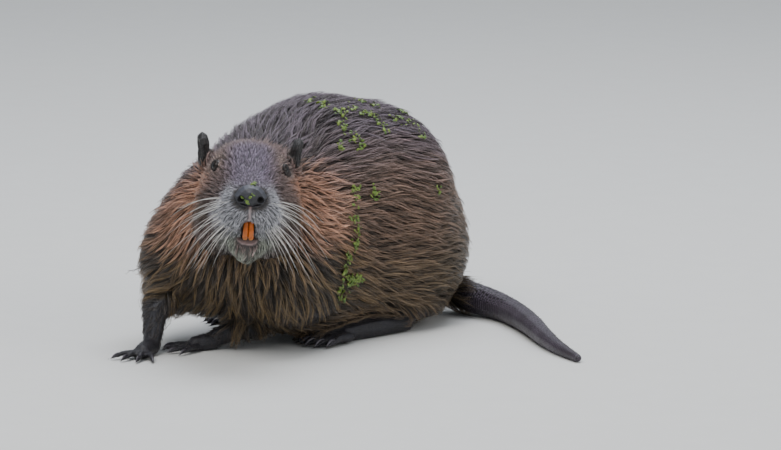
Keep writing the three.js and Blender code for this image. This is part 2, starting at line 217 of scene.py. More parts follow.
def shown(name, mesh, material, replaces=()):
    """An object of the model: it rides on the only body and takes the given material."""
    piece = bpy.data.objects.new(name, mesh)
    bpy.context.scene.collection.objects.link(piece)
    mesh.polygons.foreach_set("use_smooth", np.ones(len(mesh.polygons), bool))
    if material is not None:
        mesh.materials.clear()
        mesh.materials.append(material)
    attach(piece, "root")
    if replaces:
        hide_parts(*replaces)
    return piece


def melted(names, voxel_mm, swell_mm):
    """Copies of CAD nodes, swollen a little to close the gaps, as one evenly meshed shell."""
    shell = bmesh.new()
    for name in names:
        shell.from_mesh(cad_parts[name].data)
    bmesh.ops.remove_doubles(shell, verts=shell.verts, dist=1e-6)
    bmesh.ops.recalc_face_normals(shell, faces=shell.faces)
    shell.normal_update()
    for vertex in shell.verts:
        vertex.co += vertex.normal * swell_mm * MM
    mesh = bpy.data.meshes.new("shell")
    shell.to_mesh(mesh)
    shell.free()
    holder = bpy.data.objects.new("shell", mesh)
    bpy.context.scene.collection.objects.link(holder)
    remesh = holder.modifiers.new("even", "REMESH")
    remesh.mode = "VOXEL"
    remesh.voxel_size = voxel_mm * MM
    evaluated = holder.evaluated_get(bpy.context.evaluated_depsgraph_get())
    result = bpy.data.meshes.new_from_object(evaluated)
    bpy.data.objects.remove(holder)
    bpy.data.meshes.remove(mesh)
    return result


def refined(mesh, chosen):
    """The mesh with the edges between chosen vertices halved."""
    work = bmesh.new()
    work.from_mesh(mesh)
    edges = [e for e in work.edges if chosen[e.verts[0].index] and chosen[e.verts[1].index]]
    bmesh.ops.subdivide_edges(work, edges=edges, cuts=1, use_grid_fill=True)
    work.to_mesh(mesh)
    work.free()
    mesh.update()


def tree_of(points):
    """A tree that finds the nearest of some points."""
    tree = KDTree(len(points))
    for i, p in enumerate(points):
        tree.insert(p, i)
    tree.balance()
    return tree


def nearest_node(points, names):
    """For each point the place in names of the CAD node whose surface is nearest."""
    samples, owner = [], []
    for i, name in enumerate(names):
        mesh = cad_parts[name].data
        mesh.calc_loop_triangles()
        triangles = read(mesh, "loop_triangles", "vertices", 3, np.int32)
        corners = positions(mesh)[triangles]
        for a, b, c in ((1, 0, 0), (0, 1, 0), (0, 0, 1), (0.5, 0.5, 0), (0, 0.5, 0.5), (0.34, 0.33, 0.33)):
            samples.append(corners[:, 0] * a + corners[:, 1] * b + corners[:, 2] * c)
            owner.append(np.full(len(corners), i))
    samples, owner = np.concatenate(samples), np.concatenate(owner)
    tree = tree_of(samples)
    return owner[[tree.find(p)[1] for p in points]]


# ---------------------------------------------------------------------------- the lie and length of the coat

NOSE_TIP_MM = (0, -70, -18)
NOSE_MIDDLE_MM = (0, -66, -17)
MOUTH_MM = (0, -60, -50)
# The heights between which the long coat of the body ends on a leg.
FORE_HEM_MM = (62, 44)
HIND_HEM_MM = (28, 14)
# The shares of the tail's first piece between which the body's coat ends.
TAIL_HEM = (0.12, 0.5)


class Skin:
    """The skin's arrays: place, normal, share of each region, and the coat that grows on it."""

    def __init__(self, mesh):
        self.mesh = mesh
        self.links = links_of(mesh)
        self.outer = positions(mesh)
        self.label = nearest_node(self.outer, FLESH)
        self.share = {key: self._share_of(names) for key, names in REGIONS.items()}
        z = self.outer[:, 2] / MM
        fore = self.share.pop("foreleg") > 0.5 * self.share["leg"]
        shank = np.where(fore, ramp(z, *FORE_HEM_MM), ramp(z, *HIND_HEM_MM))
        self.share["trunk"] = self.share["trunk"] + self.share["leg"] * (1 - shank)
        self.share["leg"] = self.share["leg"] * shank
        low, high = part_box("tail_root")
        bare = ramp((self.outer[:, 0] - low[0]) / (high[0] - low[0]), *TAIL_HEM)
        self.share["trunk"] = self.share["trunk"] + self.share["tail"] * (1 - bare)
        self.share["tail"] = self.share["tail"] * bare

    def _share_of(self, names):
        inside = np.isin(self.label, [FLESH.index(n) for n in names]).astype(float)
        return blurred(inside, self.links, 14)


REGIONS = {
    "head": HEAD_NODES,
    "neck": ["neck"],
    "trunk": ["trunk"],
    "ear": EAR_NODES,
    "leg": LEG_NODES,
    "foreleg": ["foreleg_left", "foreleg_right"],
    "foot": FOOT_NODES,
    "tail": TAIL_NODES,
}


def coat_depth(skin, head):
    """How thick the coat lies on the skin, in millimetres."""
    x, y = np.abs(head[:, 0]), head[:, 1]
    cheek = ramp(x, 18, 40) * ramp(y, -34, 0) * ramp(-head[:, 2], 8, 40)
    face = 1.3 + 1.9 * ramp(y, -52, -8) + 3.5 * ramp(y, 0, 45) + 3.5 * cheek
    face = face * ramp(np.hypot(y + 62, head[:, 2] + 50), 6, 16) + 0.3
    depth = skin.share["head"] * face + skin.share["neck"] * 7.5 + skin.share["trunk"] * 6.5
    depth += skin.share["leg"] * 1.6 + skin.share["foot"] * 0.7
    depth += skin.share["ear"] * 0.2 + skin.share["tail"] * 0.7
    return depth


def coat_length(skin, head):
    """How long the strands are, in millimetres."""
    z = skin.outer[:, 2] / MM
    x, y, up = np.abs(head[:, 0]), head[:, 1], head[:, 2]
    cheek = ramp(x, 17, 34) * ramp(y, -36, -2) * ramp(-up, -2, 26)
    throat = ramp(-up, 62, 84)
    tuft = ramp(x, 14, 6) * ramp(-up, 60, 66) * ramp(y, -30, -40)
    face = 4.6 + 3.0 * ramp(y, -50, -10) + 8 * ramp(y, 4, 40) + 17 * cheek + 12 * throat + 9 * tuft
    body = 29 + 5 * ramp(z, 120, 40)
    side_hair = ramp(x, 9, 20) * ramp(y, -26, -40) * ramp(-up, 18, 30)
    face += 4.5 * side_hair
    eye_gap = np.hypot(np.hypot(x - EYE_SPREAD_MM, y), up)
    face *= mixed(0.42, 1.0, ramp(eye_gap, 7, 15))
    body = body + 6 * chest_share(head, skin.outer)
    length = skin.share["head"] * face + skin.share["neck"] * 28 + skin.share["trunk"] * body
    length += skin.share["leg"] * 7 + skin.share["foot"] * 3.4
    length += skin.share["ear"] * 2.6 + skin.share["tail"] * 6
    return length


def tail_line():
    """Points down the middle of the tail, from the rump to the tip."""
    points = []
    for name in TAIL_NODES:
        low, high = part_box(name)
        points.append((low[0], high[1], high[2] * 0.5))
        points.append(((low[0] + high[0]) / 2, (low[1] + high[1]) / 2, high[2] * 0.4))
    low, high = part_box(TAIL_NODES[-1])
    points.append((high[0], low[1], 0.004))
    return np.array(points)


def coat_flow(skin, feet):
    """The way the strands lie: away from the nose, down the sides, and out to the toes and tips."""
    points, head, normal = skin.outer, skin.head, skin.normal
    away = unit(points - from_head(NOSE_TIP_MM))
    down = np.array([0, 0, -1.0])
    rearward = unit((centre_of("tail_root") - centre_of("neck")) * [1, 1, 0])
    behind = (points - centre_of("neck")) @ rearward / MM
    back_share = 0.85 * skin.share["trunk"] * ramp(behind, 10, 80)
    away = mixed(away, np.broadcast_to(rearward, away.shape), back_share)
    pull = 0.16 + 0.5 * skin.share["neck"] * ramp(head[:, 2], 10, -40)
    flow = away + down * pull[:, None]
    parting = hill(head[:, 0], 0, 7) * ramp(head[:, 1], -44, -54) * ramp(head[:, 2], -20, -26)
    flow += HEAD_ACROSS * (0.9 * parting * np.sign(head[:, 0]))[:, None]
    tuft = ramp(np.abs(head[:, 0]), 24, 15) * ramp(head[:, 2], -58, -64) * ramp(head[:, 1], -26, -36)
    flow -= HEAD_ACROSS * (0.8 * tuft * ramp(np.abs(head[:, 0]), 0, 6) * np.sign(head[:, 0]))[:, None]
    for heading, node in feet:
        share = blurred((skin.label == FLESH.index(node)).astype(float), skin.links, 10)
        flow = mixed(flow, np.broadcast_to(heading, flow.shape), share)
    line = tail_line()
    along = unit(np.gradient(line, axis=0))
    nearest = np.argmin(np.linalg.norm(points[:, None] - line[None], axis=2), axis=1)
    flow = mixed(flow, along[nearest], skin.share["tail"])
    flow = mixed(flow, np.broadcast_to(head_direction([0, 0.5, 1]), flow.shape), skin.share["ear"])
    flow -= normal * (flow * normal).sum(1)[:, None]
    flow = blurred(unit(flow), skin.links, 6)
    flow -= normal * (flow * normal).sum(1)[:, None]
    return unit(flow)


# ---------------------------------------------------------------------------- markings and painted light


def srgb(red, green, blue):
    c = np.array([red, green, blue]) / 255
    return np.where(c <= 0.04045, c / 12.92, ((c + 0.055) / 1.055) ** 2.4)


BROWN = srgb(122, 90, 66)
# The mauve-grey of the upper back is partly the coat's own colour and partly a painted sky reflection on the
# upward-facing wet fur.
MAUVE = srgb(82, 71, 85)
# The golden and olive browns of the lower flank and rump are partly the wet coat's own colour and partly
# painted shade and a painted green reflection, darker towards the bottom.
GOLD = srgb(88, 68, 24)
OLIVE = srgb(60, 54, 22)
RUST = srgb(238, 172, 132)
DUSK = srgb(150, 122, 118)
SHADED = srgb(96, 76, 62)
FOREHEAD = srgb(162, 147, 176)
# Tip colours of the bright wisps: partly the hair's paler tips and partly painted highlight on wet hair; the
# mauve tips of the back are a painted sky reflection.
TAN_TIP = srgb(206, 168, 148)
MAUVE_TIP = srgb(170, 155, 180)
OLIVE_TIP = srgb(158, 136, 88)
GOLD_TIP = srgb(226, 184, 112)
MUZZLE = srgb(236, 238, 248)
CHIN = srgb(206, 214, 196)
# The throat's dark olive is partly the wet coat's own colour and partly painted shade under the head.
THROAT = srgb(62, 54, 30)
SLATE = srgb(46, 45, 52)
EAR = srgb(12, 9, 12)
TAIL = srgb(96, 86, 100)
EYE_RING = srgb(196, 170, 158)
EYE_RIM = srgb(34, 26, 24)
LIP = srgb(186, 158, 154)
NOSE_EDGE = srgb(62, 58, 62)
# The mouth opening is painted nearly black, as the shade inside it.
MOUTH = srgb(26, 12, 10)


def painted(colour, *coats):
    """The colour under coats of paint, each of them a colour and how much of it shows."""
    for paint, share in coats:
        colour = mixed(colour, paint, share)
    return colour


def face_markings_and_painted_shade(skin):
    """The colours of the face, laid over one another."""
    x, y, up = skin.head.T
    side = np.abs(x)
    eye_gap = np.hypot(np.hypot(side - EYE_SPREAD_MM, y), up)
    cheek = 0.8 * ramp(side, 28, 44) * ramp(up, 0, -12) * ramp(up, -52, -30) * ramp(y, -28, -4)
    gum = ramp(side, 12.5, 9) * ramp(up, -54, -57) * ramp(up, -67, -64) * ramp(y, -36, -42)
    near_nose = np.linalg.norm((skin.head - NOSE_MIDDLE_MM) / [16.5, 14, 11.5], axis=1)
    return painted(
        np.broadcast_to(DUSK, skin.outer.shape),
        (FOREHEAD, ramp(side, 30, 10) * ramp(y, 30, -8)),
        (SHADED, ramp(side, 22, 32) * hill(up, -36, 15) * ramp(y, -46, -30)),
        (RUST, cheek),
        # Painted shade in part: the throat under the head.
        (THROAT, ramp(up, -56, -76) * ramp(y, -44, -20)),
        (EYE_RING, 0.8 * hill(eye_gap, 11.0, 3.4)),
        (EYE_RIM, ramp(eye_gap, 8.0, 7.0)),
        (MUZZLE, ramp(y, -30, -46) * ramp(up, -2, -16)),
        (CHIN, ramp(y, -28, -42) * ramp(up, -50, -60)),
        (LIP, gum),
        (NOSE_EDGE, ramp(near_nose, 1.08, 0.96)),
        (LIP, 0.8 * hill(x, 0, 1.6) * ramp(y, -50, -56) * ramp(up, -20, -26)),
        # Painted shade: the mouth opening.
        (MOUTH, ramp(side, 6.8, 5.8) * ramp(np.abs(up + 50), 9.0, 7.5) * ramp(y, -34, -40)),
    )


def markings_and_painted_light(skin):
    """The colour of the coat over each point of the skin."""
    points, share = skin.outer, skin.share
    z = points[:, 2] / MM
    x, y, up = skin.head.T
    side = np.abs(x)
    ruff = ramp(side, 30, 50) * ramp(y, -30, 4) * ramp(up, 6, -8) * ramp(up, -90, -40) * ramp(y, 80, 25)
    return painted(
        np.broadcast_to(BROWN, points.shape),
        # Partly painted sky reflection: mauve on high, upward-facing fur.
        (MAUVE, ramp(z, 105, 205) * ramp(skin.normal[:, 2], -0.2, 0.9)),
        # Partly painted shade and green reflection: darker golden olive low down and over the rump.
        (GOLD, 0.85 * ramp(z, 125, 50)),
        (OLIVE, 0.85 * ramp(points[:, 0], 0.04, 0.14) * ramp(points[:, 2], 0.21, 0.08)),
        # Painted shade in part: the throat and chest under the head.
        (THROAT, 0.75 * ramp(up, -62, -100) * ramp(y, 70, 15)),
        (RUST, 0.9 * ruff),
        (face_markings_and_painted_shade(skin), ramp(share["head"], 0.3, 0.9)),
        (SLATE, ramp(share["leg"] + share["foot"], 0.3, 0.8)),
        (SLATE, ramp(share["foot"], 0.2, 0.6)),
        (EAR, ramp(share["ear"], 0.25, 0.6)),
        (TAIL, ramp(share["tail"], 0.3, 0.7)),
    )


def bright_tips(skin):
    """The colour of the brightest wisps, partly the hair's paler tips and partly painted highlight on wet
    hair: gold on the chest, tan on the sides, mauve along the back as a painted sky reflection.
    """
    z = skin.outer[:, 2] / MM
    return painted(
        np.broadcast_to(TAN_TIP, skin.outer.shape),
        (MAUVE_TIP, ramp(z, 115, 205) * ramp(skin.normal[:, 2], -0.1, 0.8)),
        (OLIVE_TIP, 0.7 * ramp(z, 110, 50)),
        (GOLD_TIP, chest_share(skin.head, skin.outer)),
    )


# ---------------------------------------------------------------------------- materials


class Nodes:
    """A material's node tree, built by short calls."""

    def __init__(self, name):
        self.material = bpy.data.materials.new(name)
        self.material.use_nodes = True
        self.tree = self.material.node_tree
        self.tree.nodes.clear()
        self.shader = self.add("ShaderNodeBsdfPrincipled")
        out = self.add("ShaderNodeOutputMaterial")
        self.link(self.shader.outputs[0], out.inputs["Surface"])

    def add(self, kind, settings=None, **inputs):
        node = self.tree.nodes.new(kind)
        for key, value in (settings or {}).items():
            setattr(node, key, value)
        for key, value in inputs.items():
            self.put(node, key.replace("_", " "), value)
        return node

    def put(self, node, socket, value):
        target = node.inputs[socket]
        if isinstance(value, bpy.types.NodeSocket):
            self.link(value, target)
        else:
            target.default_value = value

    def link(self, source, target):
        self.tree.links.new(source, target)

    def attribute(self, name):
        return self.add("ShaderNodeAttribute", {"attribute_name": name})

    def here(self):
        return self.add("ShaderNodeTexCoord").outputs["Object"]

    def strand(self):
        """Where on a strand a point is: across it, along it, and the strand's own number."""
        return self.attribute("strand").outputs["Vector"]

    def axis(self, vector, letter):
        return self.add("ShaderNodeSeparateXYZ", Vector=vector).outputs[letter]

    def math(self, operation, a, b=0.0):
        node = self.add("ShaderNodeMath", {"operation": operation})
        self.put(node, 0, a)
        self.put(node, 1, b)
        return node.outputs[0]

    def mix(self, a, b, share, blend="MIX"):
        node = self.add("ShaderNodeMix", {"data_type": "RGBA", "blend_type": blend})
        self.put(node, "Factor", share)
        self.put(node, 6, a)
        self.put(node, 7, b)
        return node.outputs[2]

    def stained_or_shaded(self, colour, stain, strength, clean):
        """The colour, stained or given painted shade where clean is 0."""
        return self.mix(self.mix(colour, stain, strength), colour, clean)

    def spread(self, value, low, high, to_low=0.0, to_high=1.0):
        node = self.add("ShaderNodeMapRange", {"clamp": True})
        for i, v in enumerate((value, low, high, to_low, to_high)):
            self.put(node, i, v)
        return node.outputs[0]

    def noise(self, vector, scale, detail=3.0, roughness=0.55):
        node = self.add("ShaderNodeTexNoise", Vector=vector, Scale=scale, Detail=detail, Roughness=roughness)
        return node.outputs["Fac"]

    def stretched(self, vector, scale):
        node = self.add("ShaderNodeVectorMath", {"operation": "MULTIPLY"})
        self.put(node, 0, vector)
        self.put(node, 1, scale)
        return node.outputs[0]

    def bump(self, height, strength, distance, under=None):
        node = self.add("ShaderNodeBump", Strength=strength, Distance=distance, Height=height)
        if under is not None:
            self.put(node, "Normal", under)
        return node.outputs[0]

    def finish(self, **inputs):
        for key, value in inputs.items():
            self.put(self.shader, key.replace("_", " "), value)
        return self.material


def coat_material(name, roughness, root_dark):
    """Strands of fur: darker at the root, as the hair's base and as painted shade deep in the coat; paler at
    the tip, as the hair's own tip and as a painted highlight on wet hair; with fine streaks along each
    strand.
    """
    n = Nodes(name)
    colour = n.attribute("coat").outputs["Color"]
    strand = n.strand()
    along = n.axis(strand, "Y")
    streak = n.noise(n.stretched(strand, (3.2, 0.9, 57.0)), 2.4, 2.0)
    # Painted shade, in part: each strand darkens towards its root.
    shade = n.spread(along, 0.1, 0.85, root_dark, 1.0)
    colour = n.mix(colour, (0, 0, 0, 1), n.math("SUBTRACT", 1.0, shade))
    # Painted highlight, in part: the tip is mixed towards a pale pinkish tan.
    pale = n.mix(colour, (1.0, 0.86, 0.76, 1), n.spread(along, 0.3, 1.0, 0.06, 0.2))
    dark = n.mix(colour, (0.015, 0.011, 0.009, 1), 0.4)
    colour = n.mix(dark, pale, n.spread(streak, 0.34, 0.66))
    bumps = n.bump(streak, 0.5, 0.0004)
    rough = n.spread(streak, 0.3, 0.7, roughness + 0.08, roughness - 0.08)
    return n.finish(Base_Color=colour, Roughness=rough, Normal=bumps, Specular_IOR_Level=0.5)


def hide_material(name, roughness, grain_scale, grain_depth, dark, cracks):
    """Bare or short-haired skin: the markings, mottled, with pores and fine creases darkened as painted
    shade.
    """
    n = Nodes(name)
    where = n.here()
    colour = n.attribute("coat").outputs["Color"]
    mottle = n.noise(where, 90.0, 4.0)
    grain = n.noise(where, grain_scale, 4.0, 0.65)
    cells = n.add("ShaderNodeTexVoronoi", {"feature": "DISTANCE_TO_EDGE"}, Vector=where, Scale=grain_scale)
    creases = n.spread(cells.outputs["Distance"], 0.0, 0.12)
    colour = n.stained_or_shaded(colour, (0.004, 0.003, 0.003, 1), dark, n.spread(mottle, 0.3, 0.75))
    # Painted shade: the creases are darkened towards black.
    colour = n.stained_or_shaded(colour, (0, 0, 0, 1), cracks, creases)
    height = n.math("ADD", n.math("MULTIPLY", creases, cracks), grain)
    rough = n.spread(grain, 0.3, 0.7, roughness - 0.1, roughness + 0.1)
    return n.finish(Base_Color=colour, Roughness=rough, Normal=n.bump(height, 0.6, grain_depth))


def tail_material():
    """Scaly rings round the tail, with painted shade darkening the grooves between the scales."""
    n = Nodes("tail scales")
    colour = n.attribute("coat").outputs["Color"]
    ring = n.attribute("ring").outputs["Vector"]
    bricks = n.add("ShaderNodeTexBrick", {"offset": 0.5}, Vector=ring, Scale=1.0, Mortar_Size=0.24,
                   Mortar_Smooth=0.5, Brick_Width=1.5, Row_Height=1.0)
    gap = bricks.outputs["Fac"]
    where = n.here()
    grain = n.noise(where, 420.0, 4.0)
    mottle = n.noise(where, 45.0, 4.0)
    colour = n.stained_or_shaded(colour, (0.01, 0.008, 0.01, 1), 0.55, n.spread(mottle, 0.35, 0.7))
    # Painted shade: the grooves between the scales are darkened nearly to black.
    colour = n.mix(colour, (0.012, 0.01, 0.012, 1), n.math("MULTIPLY", gap, 0.92))
    height = n.math("SUBTRACT", n.math("MULTIPLY", grain, 0.3), gap)
    rough = n.spread(grain, 0.3, 0.7, 0.34, 0.55)
    return n.finish(Base_Color=colour, Roughness=rough, Normal=n.bump(height, 0.8, 0.0006))


def eye_material():
    """A dark brown eye, nearly black in the pupil, under a wet cornea."""
    n = Nodes("eye")
    iris = n.attribute("iris").outputs["Fac"]
    where = n.here()
    fibres = n.noise(where, 900.0, 3.0)
    brown = n.mix((0.006, 0.003, 0.002, 1), (0.020, 0.010, 0.005, 1), fibres)
    colour = n.mix((0.001, 0.001, 0.001, 1), brown, n.spread(iris, 0.35, 0.5))
    colour = n.mix(colour, (0.02, 0.014, 0.012, 1), n.spread(iris, 0.85, 1.0))
    rough = n.spread(fibres, 0.2, 0.8, 0.10, 0.16)
    cornea = {"Coat_Weight": 0.15, "Coat_Roughness": 0.05}
    return n.finish(Base_Color=colour, Roughness=rough, Specular_IOR_Level=0.3, **cornea)


def nose_material():
    """Wet slate-grey nose leather, pebbled, with a painted bluish highlight on its upward-facing top."""
    n = Nodes("nose leather")
    where = n.here()
    cells = n.add("ShaderNodeTexVoronoi", Vector=where, Scale=900.0)
    pebble = cells.outputs["Distance"]
    mottle = n.noise(where, 160.0, 4.0)
    colour = n.mix((0.012, 0.012, 0.015, 1), (0.040, 0.041, 0.050, 1), n.spread(mottle, 0.35, 0.7))
    # Painted highlight: the upward-facing top of the nose is mixed towards a pale bluish grey.
    lift = n.axis(n.add("ShaderNodeNewGeometry").outputs["Normal"], "Z")
    colour = n.mix(colour, (0.085, 0.09, 0.115, 1), n.math("MULTIPLY", n.spread(lift, 0.1, 0.9), 0.6))
    # Painted shade: the nostril pits are coloured nearly black, as the shade inside them.
    pit = n.attribute("pit").outputs["Fac"]
    colour = n.mix(colour, (0.003, 0.002, 0.002, 1), pit)
    height = n.math("SUBTRACT", n.math("MULTIPLY", mottle, 0.4), n.math("MULTIPLY", pebble, 0.6))
    rough = n.math("ADD", n.spread(mottle, 0.3, 0.7, 0.38, 0.55), n.math("MULTIPLY", pit, 0.4))
    return n.finish(Base_Color=colour, Roughness=rough, Normal=n.bump(height, 0.5, 0.0003))


def enamel_material():
    """Orange rodent enamel, deeper at the gum and worn pale at the cutting edge, with fine long cracks."""
    n = Nodes("enamel")
    strand = n.strand()
    along = n.axis(strand, "Y")
    lines = n.noise(n.stretched(strand, (2.2, 0.7, 1.0)), 2.0, 4.0)
    where = n.here()
    stains = n.noise(where, 210.0, 4.0)
    colour = n.mix((0.20, 0.030, 0.002, 1), (0.48, 0.098, 0.004, 1), n.spread(along, 0.4, 0.85))
    colour = n.stained_or_shaded(colour, (0.09, 0.025, 0.003, 1), 0.7, n.spread(stains, 0.32, 0.56))
    colour = n.stained_or_shaded(colour, (0.56, 0.16, 0.010, 1), 0.35, n.spread(lines, 0.3, 0.7))
    colour = n.mix(colour, (0.42, 0.19, 0.04, 1), n.spread(along, 0.95, 1.0))
    rough = n.spread(stains, 0.3, 0.7, 0.14, 0.3)
    return n.finish(Base_Color=colour, Roughness=rough, Normal=n.bump(lines, 0.2, 0.0002))


def claw_material():
    """Dark horn, streaked along its length and paler at the tip."""
    n = Nodes("horn")
    strand = n.strand()
    along = n.axis(strand, "Y")
    lines = n.noise(n.stretched(strand, (6.0, 0.6, 11.0)), 3.0, 3.0)
    colour = n.mix((0.030, 0.026, 0.034, 1), (0.17, 0.155, 0.18, 1), n.spread(along, 0.3, 1.0))
    colour = n.stained_or_shaded(colour, (0.01, 0.008, 0.01, 1), 0.6, n.spread(lines, 0.3, 0.65))
    rough = n.spread(lines, 0.3, 0.7, 0.25, 0.42)
    return n.finish(Base_Color=colour, Roughness=rough, Normal=n.bump(lines, 0.4, 0.0002))


def whisker_material():
    """Stiff pale hair, browner at the root."""
    n = Nodes("whisker")
    strand = n.strand()
    along = n.axis(strand, "Y")
    lines = n.noise(n.stretched(strand, (1.0, 6.0, 31.0)), 3.0, 2.0)
    colour = n.mix((0.30, 0.25, 0.21, 1), (0.82, 0.80, 0.76, 1), n.spread(along, 0.0, 0.25))
    colour = n.stained_or_shaded(colour, (0.3, 0.27, 0.22, 1), 0.35, n.spread(lines, 0.3, 0.6))
    rough = n.spread(lines, 0.3, 0.7, 0.3, 0.42)
    return n.finish(Base_Color=colour, Roughness=rough)


def duckweed_material():
    """Small wet leaves, some fresh and some yellowed."""
    n = Nodes("duckweed")
    mottle = n.noise(n.here(), 700.0, 3.0)
    colour = n.mix((0.075, 0.150, 0.022, 1), (0.235, 0.330, 0.045, 1), n.axis(n.strand(), "Z"))
    colour = n.stained_or_shaded(colour, (0.03, 0.05, 0.012, 1), 0.6, n.spread(mottle, 0.3, 0.65))
    rough = n.spread(mottle, 0.3, 0.7, 0.28, 0.45)
    return n.finish(Base_Color=colour, Roughness=rough, Normal=n.bump(mottle, 0.4, 0.0002))


# ---------------------------------------------------------------------------- skin

EAR_MM = (43, 36, 6)
EAR_REACH_MM = (14, 18, 26)
EAR_STRETCH_MM = 2.6
# The opening between the lids as half-angles seen from the eye's middle, and the lids' outer radius.
OPEN_WIDE, OPEN_HIGH = 30.0, 38.0
LID_THICK = 1.12
LID_ROLL, LID_CREASE = 0.0004, 0.0005


def eye_axes(side):
    """The way the eye looks, and the way along and up the slit between its lids."""
    look = head_direction([side * 0.80, -0.52, 0.24])
    along = unit(np.cross(look, HEAD_UP) * side)
    return look, along, np.cross(look, along) * -side


def set_lids(points, side):
    """Skin round an eye drawn over the eyeball as two lids with rounded rims and a crease behind them."""
    middle = centre_of("eye_left" if side > 0 else "eye_right")
    look, along, up = eye_axes(side)
    offset = points - middle
    reach = np.linalg.norm(offset, axis=1)
    near = reach < 3.4 * EYE_RADIUS_MM * MM
    u = unit(offset)
    angle = np.degrees(np.arccos(np.clip(u @ look, -1, 1)))
    around = np.arctan2(u @ up, u @ along)
    opening = 1 / np.hypot(np.cos(around) / OPEN_WIDE, np.sin(around) / OPEN_HIGH)
    ratio = angle / opening
    ball = EYE_RADIUS_MM * MM
    lid = ball * (0.86 + (LID_THICK - 0.86) * ramp(ratio, 0.92, 1.08))
    lid += LID_ROLL * hill(ratio, 1.2, 0.12)
    lid -= LID_CREASE * hill(ratio, 1.6, 0.14)
    placed = lid + (reach - lid) * ramp(ratio, 1.25, 2.3)
    placed = np.where(near & (angle < 130), placed, reach)
    return middle + u * placed[:, None]


def set_mouth(points):
    """The nose's groove, the split upper lip, the dark opening round the teeth and the lower lip."""
    head = in_head(points)
    x, y, z = head.T
    side = np.abs(x)
    front = ramp(y, -34, -44)
    groove = 1.6 * hill(x, 0, 1.2) * ramp(z, -22, -27) * ramp(z, -48, -40)
    gums = 7 * ramp(side, 7.0, 5.6) * ramp(z, -38, -43) * ramp(z, -62, -57)
    slit = 8 * ramp(side, 10.5, 6.0) * hill(z, -57.0, 2.1)
    cushion = 2.2 * hill(side, 10.5, 3.0) * hill(z, -46, 6)
    lip = 2.0 * ramp(side, 14, 9) * hill(z, -61.5, 2.4)
    behind = 5.5 * ramp(np.hypot(x / 13.5, (z + 17) / 8.5), 1.0, 0.8)
    head[:, 1] = y + front * (groove + np.maximum(gums, slit) - cushion - lip + behind)
    return from_head(head)


def make_skin():
    """One skin from all the nodes of flesh, drawn in by the depth of the coat."""
    mesh = melted(FLESH + SET_IN_FLESH, VOXEL_MM, SWELL_MM)
    head = in_head(positions(mesh))
    refined(mesh, (head[:, 1] < -26) & (head[:, 2] > -90) & (np.abs(head[:, 0]) < 60))
    for side in (-1, 1):
        for reach in (17, 12):
            head = in_head(positions(mesh))
            around_eye = np.linalg.norm(head - [side * EYE_SPREAD_MM, 0, 0], axis=1) < reach
            refined(mesh, around_eye)
        head = in_head(positions(mesh))
        refined(mesh, np.linalg.norm((head - [side * EAR_MM[0], *EAR_MM[1:]]) / EAR_REACH_MM, axis=1) < 1)
    skin = Skin(mesh)
    soft = np.clip(1 - 0.75 * skin.share["foot"] - skin.share["ear"] - 0.5 * skin.share["tail"], 0.06, 1)
    soft *= 1 - 0.6 * ramp(in_head(skin.outer)[:, 1], -30, -50)
    skin.outer = rounded(skin.outer, skin.links, SMOOTH_ROUNDS, soft)
    place(mesh, skin.outer)
    normal = normals(mesh)
    head = in_head(skin.outer)
    skin.depth = coat_depth(skin, head)
    skin.length = coat_length(skin, head)
    inner = skin.outer - normal * skin.depth[:, None] * MM
    inner = set_mouth(rounded(inner, skin.links, 3))
    stretch = skin.share["ear"] * ramp(head[:, 2], -4, 22) * EAR_STRETCH_MM
    inner = inner + stretch[:, None] * MM * HEAD_UP
    for side in (-1, 1):
        inner = set_lids(inner, side)
    skin.place = inner
    place(mesh, inner)
    skin.normal = normals(mesh)
    skin.head = head
    return skin


def unwrap(mesh):
    """An unwrap of the skin's own shape in the map that the coat's strands share."""
    mesh.uv_layers.new(name="OFBake")
    holder = bpy.data.objects.new("unwrap", mesh)
    bpy.context.scene.collection.objects.link(holder)
    bpy.context.view_layer.objects.active = holder
    holder.select_set(True)
    bpy.ops.object.mode_set(mode="EDIT")
    bpy.ops.mesh.select_all(action="SELECT")
    bpy.ops.uv.smart_project(angle_limit=math.radians(66), island_margin=0.003)
    bpy.ops.object.mode_set(mode="OBJECT")
    bpy.data.objects.remove(holder)


# ---------------------------------------------------------------------------- strands

# Where the rings of a strand lie along it, and how wide they are, for long and for short hair.
LONG_HAIR = {"at": (0.0, 0.3, 0.6, 0.84), "wide": (0.75, 1.0, 0.8, 0.45)}
SHORT_HAIR = {"at": (0.0, 0.55), "wide": (0.9, 0.8)}
LONG_FROM_MM = 11.0
GUIDE_STEPS = 8
# How far a lock swings aside as a share of its step, and through what angle it does so over its length.
WAVE, WAVE_TURN = 0.30, 3.2


